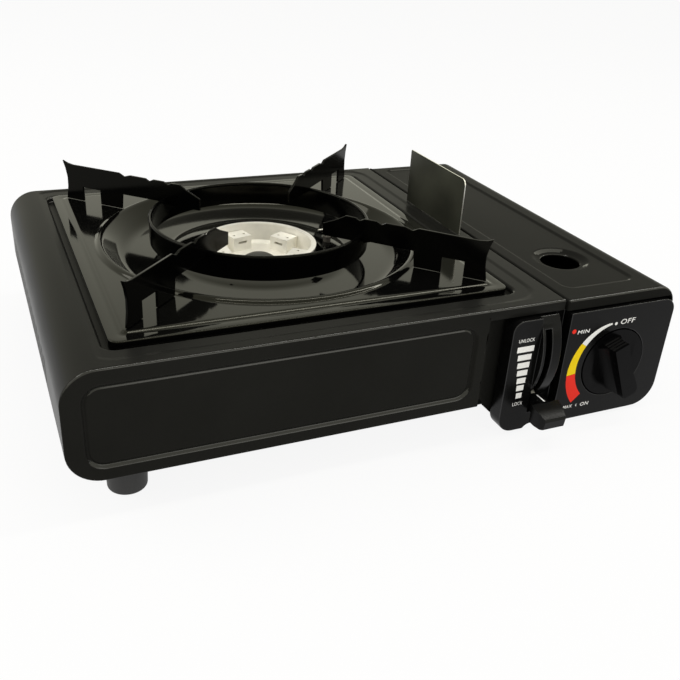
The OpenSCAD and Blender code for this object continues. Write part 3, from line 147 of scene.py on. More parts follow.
def finish(name, colour, rough, metal=0.0, wander=0.12, mottle=30, grain=900, bump=0.05,
           rough_wander=0.08, shine=0.5, tint=(1, 1, 1)):
    """Shader whose colour and roughness wander with a coarse noise and whose bump follows a fine
    one. mottle and grain are the numbers of waves in a metre, and a noise mostly stays between
    noise_low and noise_high."""
    noise_low, noise_high = 0.3, 0.7
    grain_depth = 0.2 * MM
    material = bpy.data.materials.new(name)
    material.use_nodes = True
    nodes, links = material.node_tree.nodes, material.node_tree.links
    shader = nodes["Principled BSDF"]
    shader.inputs["Metallic"].default_value = metal
    shader.inputs["Specular IOR Level"].default_value = shine
    shader.inputs["Specular Tint"].default_value = (*tint, 1)
    place = nodes.new("ShaderNodeTexCoord")
    coarse = nodes.new("ShaderNodeTexNoise")
    coarse.inputs["Scale"].default_value = mottle
    coarse.inputs["Detail"].default_value = 6
    fine = nodes.new("ShaderNodeTexNoise")
    fine.inputs["Scale"].default_value = grain
    fine.inputs["Detail"].default_value = 3
    for noise in (coarse, fine):
        links.new(place.outputs["Object"], noise.inputs["Vector"])
    ramp = nodes.new("ShaderNodeValToRGB")
    dark, light = ramp.color_ramp.elements
    dark.position, light.position = noise_low, noise_high
    dark.color = (*[c * (1 - wander) for c in colour], 1)
    light.color = (*[c * (1 + wander) for c in colour], 1)
    links.new(coarse.outputs["Fac"], ramp.inputs["Fac"])
    links.new(ramp.outputs["Color"], shader.inputs["Base Color"])
    span = nodes.new("ShaderNodeMapRange")
    span.inputs["From Min"].default_value = noise_low
    span.inputs["From Max"].default_value = noise_high
    span.inputs["To Min"].default_value = rough * (1 - rough_wander)
    span.inputs["To Max"].default_value = rough * (1 + rough_wander)
    links.new(coarse.outputs["Fac"], span.inputs["Value"])
    links.new(span.outputs["Result"], shader.inputs["Roughness"])
    relief = nodes.new("ShaderNodeBump")
    relief.inputs["Strength"].default_value = bump
    relief.inputs["Distance"].default_value = grain_depth
    links.new(fine.outputs["Fac"], relief.inputs["Height"])
    links.new(relief.outputs["Normal"], shader.inputs["Normal"])
    return material


def dress(piece, material, body, slot, *nodes):
    """Gives a piece its finish, its body and the CAD nodes that it stands for, which it hides. The slot is
    not used.
    """
    piece.data.materials.clear()
    piece.data.materials.append(material)
    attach(piece, body)
    if nodes:
        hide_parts(*nodes)
    return piece


casing_low, casing_high = corners("body_shell")
left, front, belly = casing_low
seam, back, top = casing_high
wrap_r = 17.5  # the round edges of the left side
side_roll = 0.9  # rolled edges between the sides and the two end faces
top_roll = 1.5
tuck = 0.4  # flat strip beside a rolled edge, which keeps its shading crisp
face_end = 47.0  # right end of the front face, where the control panel begins
lip_z = 73.7
tray_low, tray_high = corners("drip_tray")
tray_mid = (tray_low + tray_high)[:2] / 2
tray_half = (tray_high - tray_low)[0] / 2
recess_half = tray_half + 3.2
recess_r = 6.5
shelf_z = top - 4  # the ledge in the recess that the tray stands on
sink = 0.55


def end_rows(y_face, way, x1):
    """Rows of the rolled edge between side surface and end face. For an angle a from 0 to 90
    degrees a point lies roll (1 - cos a) inside the outline and roll (1 - sin a) behind the face,
    and the roll's radius grows from side to top along the upper left corner."""
    arc, edge = 12, 16
    weight = np.concatenate([np.zeros(2 * (arc + 1) + edge), np.linspace(0, 1, edge),
                             np.ones(arc + 1 + edge), np.linspace(1, 0, arc + 1), np.zeros(edge)])
    roll = side_roll + (top_roll - side_roll) * weight
    cut_r = (0.4, 0.4)
    bends = [(a, 0, 0) for a in np.linspace(0, math.pi / 2, 8)]
    rows = []
    for a, behind, inward in [(0, tuck, 0), *bends, (math.pi / 2, 0, tuck)]:
        s = side_roll * (1 - math.cos(a)) + inward
        t = top_roll * (1 - math.cos(a)) + inward
        xz = rounded_ring(left + s, x1, belly + s, top - t,
                          [(wrap_r - s, wrap_r - s), cut_r, cut_r, (wrap_r - s, wrap_r - t)],
                          arc, edge)
        y = y_face + way * (roll * (1 - math.sin(a)) + behind)
        rows.append(np.stack([xz[:, 0], y, xz[:, 1]], -1))
    return rows


def flat_row(ring, y):
    """A ring drawn in X and Z, put at one depth."""
    return np.stack([ring[:, 0], np.full(len(ring), y), ring[:, 1]], -1)


# Front face with its sunk panel. A bead runs round the panel, deeper than its floor
panel_x0, panel_x1, panel_z0, panel_z1 = -164.0, 41.7, 27.0, 72.5
panel_r = 10
panel_sink = 1.1
bead_sink = 0.5
bead_width = 3.2


def panel_ring(inset):
    """Outline of the sunk front panel, a distance inside its border."""
    return rounded_ring(panel_x0 + inset, panel_x1 - inset, panel_z0 + inset, panel_z1 - inset,
                        [max(panel_r - inset, 2)] * 4, 12, 16)


front_grid = end_rows(front, 1, face_end)
front_grid.append(flat_row(panel_ring(-0.6), front))
for s in np.linspace(0, 1, 14):
    groove = math.sin(math.pi * min(max((s - 0.25) / 0.75, 0), 1)) ** 2
    sunk = panel_sink * smooth(s / 0.5) + bead_sink * groove
    front_grid.append(flat_row(panel_ring(bead_width * s), front + sunk))
for inset in (3.8, 8):
    front_grid.append(flat_row(panel_ring(inset), front + panel_sink))
back_grid = end_rows(back, -1, seam)
back_ring = rounded_ring(left + 12, seam - 12, belly + 10, top - 10, [8] * 4, 12, 16)
back_grid.append(flat_row(back_ring, back))

# Wall with air slots: one cell for each slot, drawn in Y and Z. The slot's edge is pressed
# inwards along slot_edge, which gives the distance outside the slot and the depth
slot_n, slot_pitch, slot_w, slot_h = 15, 12.0, 3.2, 15.0
slot_mid_y, slot_mid_z = front + 150, 47.5
slot_edge = ((1.1, 0), (0.8, 0), (0.35, 0.12), (0.08, 0.4), (0, 0.9))
wall_z0, wall_z1 = belly + wrap_r, top - wrap_r
wall_grids = []
for k in range(slot_n):
    y = slot_mid_y + (k - (slot_n - 1) / 2) * slot_pitch
    cell = rounded_ring(y - slot_pitch / 2, y + slot_pitch / 2, wall_z0, wall_z1,
                        crisp_corners, 5, 2)
    rows = [np.stack([np.full(len(cell), left), cell[:, 0], cell[:, 1]], -1)]
    for grow, deep in slot_edge:
        ring = rounded_ring(y - slot_w / 2 - grow, y + slot_w / 2 + grow,
                            slot_mid_z - slot_h / 2 - grow, slot_mid_z + slot_h / 2 + grow,
                            [slot_w / 2 + grow - 0.01] * 4, 5, 2)
        rows.append(np.stack([np.full(len(ring), left + deep), ring[:, 0], ring[:, 1]], -1))
    wall_grids.append(rows)
slots_y0 = slot_mid_y - slot_n * slot_pitch / 2
slots_y1 = slot_mid_y + slot_n * slot_pitch / 2


def patch(x, y, z):
    """Grid of points from two arrays of parameters and one number, or from whole arrays."""
    x, y, z = (np.asarray(v, float) for v in (x, y, z))
    return np.stack(np.broadcast_arrays(x, y, z), -1)


def column(*values):
    """Values down the rows of a grid."""
    return np.array(values, float)[:, None]


def row(*values):
    """Values along the columns of a grid."""
    return np.array(values, float)[None]


wall_ends = [patch(left, column(front + side_roll + tuck, slots_y0), row(wall_z0, wall_z1)),
             patch(left, column(slots_y1, back - side_roll - tuck), row(wall_z0, wall_z1))]

# The two round edges of the wrap, from the front roll to the back roll
bottom_lip = 15
turn = np.linspace(0, math.pi / 2, 15)
share = np.concatenate([[0], turn / (math.pi / 2), [1]])
up_x = np.concatenate([[left], left + wrap_r * (1 - np.cos(turn)), [left + wrap_r + tuck]])
up_z = np.concatenate([[wall_z1 - tuck], wall_z1 + wrap_r * np.sin(turn), [top]])
up_roll = side_roll + (top_roll - side_roll) * share + tuck
upper_edge = np.array([patch(up_x, front + up_roll, up_z), patch(up_x, back - up_roll, up_z)])
down_z = np.concatenate([[wall_z0 + tuck], wall_z0 - wrap_r * np.sin(turn), [belly]])
down_x = np.concatenate([[left], left + wrap_r * (1 - np.cos(turn)), [left + wrap_r + bottom_lip]])
lower_edge = patch(down_x[None], column(front + side_roll + tuck, back - side_roll - tuck),
                   down_z[None])
lips = [patch(row(left + wrap_r, face_end), column(y_face + way * (side_roll + tuck),
                                                   y_face + way * bottom_lip), belly)
        for y_face, way in ((front, 1), (back, -1))]

# Flange at the end of the front face, and the lip that runs on over the control panel
flange_depth = 10
flange = patch(face_end, column(front + side_roll, front + flange_depth), row(belly, lip_z))
bend = np.linspace(0, math.pi / 2, 9)
lip_y = np.concatenate([[front + top_roll + tuck], front + top_roll * (1 - np.sin(bend)),
                        [front, front, front + 0.25, front + 0.8, front + 7]])
lip_z_rows = np.concatenate([[top], top - top_roll * (1 - np.cos(bend)),
                             [top - top_roll - tuck, lip_z + 0.8, lip_z + 0.25, lip_z, lip_z]])
front_lip = patch(row(face_end, seam), lip_y[:, None], lip_z_rows[:, None])

# Top plate: rings from its straight borders to the recess, sunk a little near the recess
seam_roll = 1.2
step_out, step_width = 11.5, 3
fade_start, fade_width = 0.6, 4


def tray_square(half, r):
    """Square ring round the tray's middle, with half its side and its corners' radius."""
    x, y = tray_mid
    return rounded_ring(x - half, x + half, y - half, y + half, [r] * 4, 14, 26)


def recess_ring(grow):
    """Outline of the tray's recess, grown outwards."""
    return tray_square(recess_half + grow, max(recess_r + grow, 0.3))


def plate_height(xy):
    """Height of the top plate. With d the distance from the recess, it sinks along
    smooth((step_out - d) / step_width), and the step fades out towards the rolled left side."""
    q = np.abs(xy - tray_mid) - (recess_half - recess_r)
    away = np.hypot(*np.maximum(q, 0).T) + np.minimum(q.max(1), 0) - recess_r
    fade = smooth((xy[:, 0] - left - wrap_r - fade_start) / fade_width)
    return top - sink * smooth((step_out - away) / step_width) * fade


def at_height(ring, z):
    """A ring drawn in X and Y, put at a height."""
    return np.stack([ring[:, 0], ring[:, 1], np.broadcast_to(z, len(ring))], -1)


lip_fillet = 1.9
shelf_fillet = 0.8
outer = rounded_ring(left + wrap_r + tuck, seam - seam_roll - tuck, front + top_roll + tuck,
                     back - top_roll - tuck, crisp_corners, 14, 26)
inner = recess_ring(lip_fillet + tuck)
plate_grid = []
for u in np.linspace(0, 1, 36):
    ring = outer * (1 - u) + inner * u
    plate_grid.append(at_height(ring, plate_height(ring)))
sunk_top = top - sink
for a in np.linspace(0, math.pi / 2, 8):
    plate_grid.append(at_height(recess_ring(lip_fillet * (1 - math.sin(a))),
                                sunk_top - lip_fillet * (1 - math.cos(a))))
plate_grid.append(at_height(recess_ring(0), shelf_z + shelf_fillet))
for a in np.linspace(0, math.pi / 2, 5):
    plate_grid.append(at_height(recess_ring(-shelf_fillet * (1 - math.cos(a))),
                                shelf_z + shelf_fillet * (1 - math.sin(a))))
for inset in (1.2, 8.2):
    plate_grid.append(at_height(recess_ring(-inset), shelf_z))
seam_x = np.concatenate([[seam - seam_roll - tuck], seam - seam_roll * (1 - np.sin(bend)), [seam]])
seam_z = np.concatenate([[top], top - seam_roll * (1 - np.cos(bend)), [lip_z]])
seam_edge = patch(seam_x[:, None], row(front + top_roll + tuck, back - top_roll - tuck),
                  seam_z[:, None])

casing_paint = finish("satin_black_paint", (0.0115, 0.0115, 0.0105), 0.32, mottle=18, grain=1400,
                      bump=0.05, shine=0.035, tint=(1, 0.99, 0.8))
# A lighter, glossier copy of the paint: a painted highlight for the edges that face the lamps
edge_highlight_paint = finish("satin_paint_edge_highlight", (0.016, 0.016, 0.0142), 0.16, mottle=60, grain=900,
                      bump=0.0, shine=0.42)


def settle(piece, node):
    """Applies the modifiers and keeps every point inside the CAD node's box."""
    mesh = bpy.data.meshes.new_from_object(
        piece.evaluated_get(bpy.context.evaluated_depsgraph_get()))
    piece.modifiers.clear()
    piece.data = mesh
    points = np.empty(len(mesh.vertices) * 3)
    mesh.vertices.foreach_get("co", points)
    low, high = np.array(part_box(node))
    mesh.vertices.foreach_set("co", np.clip(points.reshape(-1, 3), low, high).ravel())


def face_normals(piece):
    """X, Y and Z of the normals of a piece's faces."""
    normals = np.empty(len(piece.data.polygons) * 3)
    piece.data.polygons.foreach_get("normal", normals)
    return normals.reshape(-1, 3).T


def give_faces(piece, chosen, material):
    """Gives the chosen faces of a piece a second finish."""
    piece.data.materials.append(material)
    piece.data.polygons.foreach_set("material_index", chosen.astype(np.int32))


def paint_edge_highlights(piece):
    """Gives the faces that lean 20 to 70 degrees forwards, or 17 to 49 degrees backwards, a lighter and
    glossier paint, which paints a highlight along the rolled and pressed edges that face the lamps."""
    _, y, z = face_normals(piece)
    forwards = (y < -0.34) & (z > 0.34)
    backwards = (y > 0.3) & (y < 0.75) & (z > 0.6)
    give_faces(piece, forwards | backwards, edge_highlight_paint)


heart = ((left + seam) / 2, (front + back) / 2, (belly + top) / 2)
ring_grids = [front_grid, back_grid, *wall_grids, plate_grid]
strip_grids = [*wall_ends, upper_edge, lower_edge, *lips, flange, front_lip, seam_edge]
casing = surface("casing_sheet", ring_grids + strip_grids, heart,
                 closed=range(len(ring_grids)), capped=(0, 1))
walled(casing)
settle(casing, "body_shell")
dress(casing, casing_paint, "casing", "casing_paint", "body_shell")
# Painted highlight on the casing's edges that lean towards the lamps
paint_edge_highlights(casing)

# ---- Base pan, partition and their screws ----
# Pressed plates under the burner and round the cartridge, painted like the casing, and the
# zinc-plated partition between them. They are folded sheet held by small screws.


def paint_node(material, *nodes):
    """Gives CAD nodes that keep their own shape a finish."""
    for node in nodes:
        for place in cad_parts[node].material_slots:
            place.material = material


def eased(node, width, name):
    """Copy of a CAD node with its triangles merged, flat ones joined and its sharp edges rounded
    to a width in millimetres."""
    flat_angle, sharp_angle = math.radians(0.6), math.radians(28)
    net = bmesh.new()
    net.from_mesh(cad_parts[node].data)
    bmesh.ops.remove_doubles(net, verts=net.verts, dist=1e-6)
    bmesh.ops.dissolve_limit(net, angle_limit=flat_angle, verts=net.verts, edges=net.edges)
    net.verts.index_update()
    mesh = bpy.data.meshes.new(name)
    faces = [[v.index for v in f.verts] for f in net.faces]
    mesh.from_pydata([v.co[:] for v in net.verts], [], faces)
    net.free()
    mesh.shade_smooth()
    piece = bpy.data.objects.new(name, mesh)
    bpy.context.scene.collection.objects.link(piece)
    bevel = piece.modifiers.new("rounded edges", "BEVEL")
    bevel.width = width * MM
    bevel.segments = 2
    bevel.limit_method = "ANGLE"
    bevel.angle_limit = sharp_angle
    bevel.harden_normals = True
    return piece


def highlight_bevels(piece, material):
    """Gives the rounded edges of a piece a lighter, glossier finish of their own, a painted highlight
    along them. They keep their full width where the faces beside them are small."""
    bevel = piece.modifiers["rounded edges"]
    bevel.use_clamp_overlap = False
    piece.data.materials.append(material)
    bevel.material = 1


zinc_plate = finish("zinc_plated_steel", (0.42, 0.41, 0.38), 0.38, metal=1.0, mottle=60, grain=1200)
paint_node(casing_paint, "base_pan")
paint_node(zinc_plate, "bay_partition", "slide_guides", "cartridge_cradle", "regulator_bracket",
           "lever_bearing", "hinge_pin", "lever_shaft", "drive_arm", "lock_lever",
           "cartridge_slide", "foot_screws", "panel_screws", "base_screws", "regulator_screws",
           "regulator_cover", "air_shutter", "igniter_plunger", "electrode_tip")
heat_blacked = finish("heat_blacked_steel", (0.035, 0.034, 0.031), 0.5, metal=0.6, wander=0.3)
paint_node(heat_blacked, "electrode_clip", "burner_bracket", "burner_screws")

# ---- Feet ----
# Four black rubber buttons, screwed to the pans from below: two tall ones under the burner and
# two flat ones under the cartridge bay.

rubber = finish("black_rubber", (0.018, 0.018, 0.018), 0.6, mottle=120, grain=2200, bump=0.12)
for node in ("foot_left_front", "foot_left_back", "foot_right_front", "foot_right_back"):
    dress(eased(node, 0.6, node + "_rubber"), rubber, "casing", "black_rubber", node)

# ---- Cartridge lid ----
# A pressed sheet steel lid with a sunk middle, a dished sight hole, rolled edges and a curled
# back edge that turns on the hinge pin. It has the casing's paint made darker and duller, which paints
# shade on it.

lid_low, lid_high = corners("cartridge_lid")
lid_left, lid_front, skirt_z = lid_low
lid_right, lid_back, lid_top = lid_high
lid_lip_z, back_lip_z = 74.0, 72.4
lid_r = 12.0
curl_r = 5.0
edge_roll = 1.2
lid_side_roll, lid_front_roll = 1.0, 1.5
side_n = 4  # points up the left side
path_turn = np.linspace(0, math.pi / 2, 9)
arc_turn = np.linspace(0, math.pi / 2, 17)
lid_x = np.concatenate([np.full(side_n, lid_left), lid_left + edge_roll * (1 - np.cos(path_turn)),
                        [lid_left + edge_roll + tuck, lid_right - lid_r - tuck],
                        lid_right - lid_r * (1 - np.sin(arc_turn)), [lid_right, lid_right]])
lid_z = np.concatenate([np.linspace(lid_lip_z, lid_top - edge_roll - tuck, side_n),
                        lid_top - edge_roll * (1 - np.sin(path_turn)), [lid_top, lid_top],
                        lid_top - lid_r * (1 - np.cos(arc_turn)), [66, skirt_z]])
lid_nx = np.concatenate([np.full(side_n, -1.0), -np.cos(path_turn), [0, 0], np.sin(arc_turn),
                         [1, 1]])
lid_nz = np.concatenate([np.zeros(side_n), np.sin(path_turn), [1, 1], np.cos(arc_turn), [0, 0]])
lid_up = np.concatenate([np.zeros(side_n), np.linspace(0, 1, len(path_turn)), [1, 1],
                         np.linspace(1, 0, len(arc_turn)), [0, 0]])


def lid_end(y_face, way, roll_top, low_z):
    """Rolled edge of the lid at one end and the short lip below it. A point lies
    roll (1 - cos a) inside the lid's outline and roll (1 - sin a) behind the end face."""
    roll = lid_side_roll + (roll_top - lid_side_roll) * lid_up
    rows = [patch(lid_x, y_face + way * (roll + tuck), lid_z)]
    for a in np.linspace(0, math.pi / 2, 10):
        off = roll * (1 - math.cos(a))
        inward = np.where(lid_nx < 0, np.minimum(off, edge_roll - 0.1), off)
        rows.append(patch(lid_x - lid_nx * inward, y_face + way * roll * (1 - math.sin(a)),
                          np.minimum(lid_z - lid_nz * off * (lid_nx >= 0), lid_top - off)))
    last = rows[-1]
    for s in (0.2, 1.0):
        z = last[:, 2] * (1 - s) + np.minimum(last[:, 2], low_z) * s
        rows.append(patch(last[:, 0], last[:, 1], z))
    return rows


front_roll_y = lid_front + lid_side_roll + (lid_front_roll - lid_side_roll) * lid_up + tuck
back_roll_y = lid_back - lid_side_roll - (curl_r - lid_side_roll) * lid_up - tuck
lid_length = np.array([patch(lid_x, front_roll_y, lid_z), patch(lid_x, back_roll_y, lid_z)])
plate_at = side_n + len(path_turn) + 1  # first column right of the flat plate
side_part, arc_part = lid_length[:, :plate_at], lid_length[:, plate_at:]
lid_sink = 0.8
sight_mid = (130.3, front + 53.0)
well = (lid_left + 7.6, lid_right - 17.5, front + 11.5, lid_back - 8.5)


def well_ring(inset, radius=8.0):
    """Outline of the lid's sunk middle, a distance inside its border."""
    x0, x1, y0, y1 = well
    return rounded_ring(x0 + inset, x1 - inset, y0 + inset, y1 - inset,
                        [max(radius - inset, 0.02)] * 4, 8, 12)


lid_border = rounded_ring(lid_left + edge_roll + tuck, lid_right - lid_r - tuck,
                          lid_front + lid_front_roll + tuck, lid_back - curl_r - tuck, crisp_corners, 8, 12)
lid_plate = [at_height(lid_border, lid_top), at_height(well_ring(-0.6), lid_top)]
lid_plate += [at_height(well_ring(3 * s), lid_top - lid_sink * smooth(s))
              for s in np.linspace(0, 1, 8)]
floor_z = lid_top - lid_sink
floor_inset, sight_half = 5.2, 19.5
lid_plate += [at_height(well_ring(3.5), floor_z), at_height(well_ring(floor_inset, 0), floor_z)]
x0, x1 = well[0] + floor_inset, well[1] - floor_inset
y0, y1 = well[2] + floor_inset, well[3] - floor_inset
sight_y0, sight_y1 = sight_mid[1] - sight_half, sight_mid[1] + sight_half
lid_flats = [patch(row(x0, x1), column(y0, sight_y0), floor_z),
             patch(row(x0, x1), column(sight_y1, y1), floor_z)]
frame_ring = rounded_ring(x0, x1, sight_y0, sight_y1, crisp_corners, 8, 12)
way_out = frame_ring - np.array(sight_mid)
way_out /= np.linalg.norm(way_out, axis=1)[:, None]
sight_grid = [at_height(frame_ring, floor_z)]

# The sight hole's dish and its turned down edge, in pairs of radius and depth
sight_line = ((18.6, 0), (18.0, 0), (17.4, 0.06), (16.8, 0.25), (16.2, 0.55), (15.2, 1.05),
              (14.2, 1.5), (13.4, 1.75), (12.8, 1.86), (12.3, 1.95), (12.0, 2.25), (12.0, 2.9))
for radius, drop in sight_line:
    sight_grid.append(at_height(np.array(sight_mid) + radius * way_out, floor_z - drop))


def cut_out(piece, x0, x1, y0, z1):
    """Opens the lower back edge of a sheet from x0 to x1, behind y0 and below z1."""
    net = bmesh.new()
    net.from_mesh(piece.data)
    for axis, at in ((0, x0), (0, x1), (2, z1)):
        faces = [f for f in net.faces if max(v.co.y for v in f.verts) > y0 * MM]
        edges = {e for f in faces for e in f.edges}
        points = {v for f in faces for v in f.verts}
        normal = [0, 0, 0]
        normal[axis] = 1
        bmesh.ops.bisect_plane(net, geom=[*points, *edges, *faces], dist=1e-7,
                               plane_co=[c * at * MM for c in normal], plane_no=normal)
    gone = []
    for face in net.faces:
        x, y, z = face.calc_center_median() / MM
        if x0 < x < x1 and y > y0 and z < z1:
            gone.append(face)
    bmesh.ops.delete(net, geom=gone, context="FACES")
    net.to_mesh(piece.data)
    net.free()
    crease_open_borders(piece.data)


lid_heart = ((lid_left + lid_right) / 2, (lid_front + lid_back) / 2, 66)
lid = surface("lid_sheet",
              [lid_end(lid_front, 1, lid_front_roll, lid_lip_z),
               lid_end(lid_back, -1, curl_r, back_lip_z),
               side_part, arc_part, lid_plate, *lid_flats, sight_grid],
              lid_heart, closed=(4, 7))

# Notches in the curl, where the base pan's three knuckles hold the hinge pin
fixed_knuckles = (99.8, 131.15, 154.5)
hinge_z, knuckle_r, knuckle_length = lid_top - curl_r, 3.2, 6
side_gap, notch_gap = 0.4, 1.0
for knuckle_x in fixed_knuckles:
    cut_out(lid, knuckle_x - side_gap, knuckle_x + knuckle_length + side_gap,
            lid_back - curl_r - notch_gap, hinge_z + knuckle_r + notch_gap)
walled(lid)
settle(lid, "cartridge_lid")
# A darker, duller copy of the casing paint: painted shade on the lid
lid_shaded_paint = finish("satin_black_lid_paint", (0.0098, 0.0098, 0.0088), 0.34, mottle=18, grain=1400,
                   bump=0.05, shine=0.014, tint=(1, 0.99, 0.8))
dress(lid, lid_shaded_paint, "lid", "casing_paint", "cartridge_lid")
# Painted highlight on the lid's edges that lean towards the lamps
paint_edge_highlights(lid)

# ---- Control panel ----
# A black moulded cover with the knob's cup and the curved cover of the lock lever, screwed to
# the pan. Scale and words are printed on it.

moulding = finish("black_moulding", (0.0035, 0.0035, 0.0035), 0.25, mottle=40, grain=1800,
                  bump=0.08, shine=0.1)
# A lighter, glossier copy of the moulding for its bevelled edges: a painted highlight
moulding_edge_highlight = finish("black_moulding_edge", (0.007, 0.007, 0.007), 0.18, mottle=60, grain=900,
                       bump=0.0, shine=0.4)
panel = dress(eased("control_panel", 0.4, "panel_moulding"), moulding, "casing", "black_plastic",
              "control_panel")
# Painted highlight on the panel's rounded edges
highlight_bevels(panel, moulding_edge_highlight)
panel_proud = 3.7
ink_lift = 0.03
print_y = front - panel_proud - ink_lift
knob_x, knob_z = 134.5, 36.5
scale_start, scale_sweep = 104, 118
scale_inner, scale_outer, scale_growth = 26.2, 27.2, 6.6
white_ink = finish("white_print", (0.93, 0.93, 0.91), 0.5, wander=0.03, bump=0.0, shine=0.1)
yellow_ink = finish("yellow_print", (0.95, 0.68, 0.006), 0.5, wander=0.03, bump=0.0, shine=0.1)
red_ink = finish("red_print", (0.88, 0.035, 0.02), 0.5, wander=0.03, bump=0.0, shine=0.1)


def scale_part(a0, a1):
    """Ring scale from angle a0 to a1 in degrees. The inner radius stays, and the outer one grows
    with t ** 0.8, where t is the part of the sweep that is passed."""
    degrees = np.linspace(a0, a1, 24)
    a = np.radians(degrees)
    t = np.clip((degrees - scale_start) / scale_sweep, 0, 1)
    r = np.stack([np.full(24, scale_inner), scale_outer + scale_growth * t ** 0.8])
    return patch(knob_x + r * np.cos(a), print_y, knob_z + r * np.sin(a))


def print_word(text, x0, x1, z0, z1, shear=0.0, weight=0.03):
    """Printed word as flat faces, stretched to fill a box in X and Z."""
    curve = bpy.data.curves.new("words", "FONT")
    curve.body = text
    curve.shear = shear
    curve.offset = weight
    curve.space_character = 1.1
    holder = bpy.data.objects.new("words", curve)
    mesh = bpy.data.meshes.new_from_object(holder)
    points = np.array([v.co[:2] for v in mesh.vertices])
    faces = [list(p.vertices) for p in mesh.polygons]
    bpy.data.objects.remove(holder)
    bpy.data.meshes.remove(mesh)
    share = (points - points.min(0)) / np.ptp(points, axis=0)
    return np.stack([x0 + share[:, 0] * (x1 - x0), np.full(len(points), print_y),
                     z0 + share[:, 1] * (z1 - z0)], -1), faces


def printed(name, material, grids, words=()):
    """One printed colour: grids of points and words, on the panel's front face."""
    print_sheet = surface(name, grids, (knob_x, back, knob_z), words=words)
    return dress(print_sheet, material, "casing", "black_plastic")


def disc(x, z, r):
    """Flat round dot as a grid of two radii."""
    a = np.linspace(0, 2 * math.pi, 25)
    k = column(0.01, r)
    return patch(x + k * np.cos(a), print_y, z + k * np.sin(a))


bar_z = (55.4, 50.3, 45.3, 40.4, 35.4, 30.7, 25.7)
bar_x0 = (64.8, 66.0, 66.6, 67.3, 68.0, 68.6, 69.2)
bar_x1 = (75.7, 74.9, 74.5, 74.1, 73.8, 73.4, 73.0)
bar_half = 1.75
bars = [patch(row(x0, x1), print_y, column(z - bar_half, z + bar_half))
        for x0, x1, z in zip(bar_x0, bar_x1, bar_z)]
printed("panel_print_white", white_ink, bars + [scale_part(scale_start, 147.6), disc(130.7, 62.1, 0.95)],
        [print_word("OFF", 134.0, 144.4, 61.2, 64.3, shear=0.12, weight=0.01),
         print_word("MIN", 104.1, 112.4, 59.3, 61.6, shear=0.1, weight=0.015),
         print_word("MAX", 104.7, 111.3, 9.9, 12.0, shear=0.1, weight=0.015),
         print_word("\u2039", 113.6, 114.7, 10.0, 11.7, weight=0.01),
         print_word("ON", 117.2, 123.3, 9.6, 12.0, shear=0.1, weight=0.015),
         print_word("UNLOCK", 64.9, 75.3, 59.8, 61.9, weight=0.01),
         print_word("LOCK", 67.9, 74.6, 19.2, 21.4, weight=0.01)])
printed("panel_print_yellow", yellow_ink, [scale_part(147.8, 187)])
printed("panel_print_red", red_ink, [scale_part(187.2, 223), disc(101.5, 61.4, 1.4)])

# ---- Knob and what turns with it ----
# A moulded knob with a wedge grip, pushed on the brass spindle of the gas valve. The other brass
# parts and the cast zinc ones get their finish here too.

knob_black = finish("black_knob_moulding", (0.0022, 0.0022, 0.0024), 0.22, mottle=40, grain=1800,
                    bump=0.06, shine=0.055)
dress(eased("control_knob", 0.9, "knob_moulding"), knob_black, "knob", "black_plastic",
      "control_knob")
brass = finish("turned_brass", (0.62, 0.45, 0.18), 0.3, metal=1.0, mottle=90, grain=1500)
zinc_cast = finish("zinc_casting", (0.5, 0.5, 0.48), 0.45, metal=1.0, mottle=70, grain=700)
paint_node(brass, "valve_spindle", "gas_jet", "pipe_nuts")
paint_node(zinc_cast, "igniter_cam", "regulator_body", "cartridge_collar")

# ---- Lock lever ----
# A steel blade in the slot of the curved cover, with a moulded grip pushed on its end and a
# white index line on the grip's stem.

dress(eased("lever_paddle", 0.6, "lever_grip"), moulding, "lever", "black_plastic", "lever_paddle")
index_z = 24.43
index_line = surface("lever_index_line",
                     [patch(row(82.6, 83.5), column(front - 12.0, front - 4.5), index_z)],
                     (83, front - 8, 20))
dress(index_line, white_ink, "lever", "black_plastic")

# ---- Drip tray ----
# Pressed steel, enamelled glossy black: a rolled rim, a flat, a ridge and a round dish with the
# burner's hole in its middle. It lifts out.

enamel = finish("black_enamel", (0.0015, 0.0015, 0.0015), 0.08, mottle=14, grain=160, bump=0.008,
                rough_wander=0.3, shine=0.24, tint=(1, 0.99, 0.82))


def bent_line(points, radii, steps):
    """Line through corner points with each inner corner rounded: it leaves the corner's first
    side at the radius and follows (1-t)^2 A + 2 t (1-t) B + t^2 C to the second."""
    p = np.asarray(points, float)
    out = [p[0]]
    t = np.linspace(0, 1, steps)[:, None]
    for a, b, c, reach in zip(p[:-2], p[1:-1], p[2:], radii[1:-1]):
        in_len, out_len = np.linalg.norm(a - b), np.linalg.norm(c - b)
        start = b + (a - b) * min(reach, 0.48 * in_len) / in_len
        end = b + (c - b) * min(reach, 0.48 * out_len) / out_len
        out.extend((1 - t) ** 2 * start + 2 * t * (1 - t) * b + t ** 2 * end)
    out.append(p[-1])
    return np.array(out)


rim_z = 81.3
flat_z = 82.2
rim_line = bent_line([[0, tray_low[2]], [0, rim_z - 0.4], [0.4, rim_z], [3.4, rim_z],
                      [6.4, rim_z - 0.25], [8, flat_z], [9.5, flat_z]],
                     [0, 0.8, 0.8, 1.4, 1.4, 0.9, 0], 5)
tray_rings = []
for inset, z in rim_line:
    corner_r = max(5 - 0.3 * inset, 2.5)
    tray_rings.append(at_height(tray_square(tray_half - inset, corner_r), z))
square = tray_rings[-1][:, :2]
spoke = square - tray_mid
spoke /= np.linalg.norm(spoke, axis=1)[:, None]
dish_line = bent_line([[98.4, flat_z], [97.0, flat_z], [95.4, 83.7], [94.0, 84.2], [92.4, 83.6],
                       [84, 73.8], [80, 72.2], [56, 72.2], [52, 73.4], [39, 75.2], [38, 74.4]],
                      [0, 0.7, 1, 1, 1.5, 3, 3, 3, 3, 1, 0], 7)
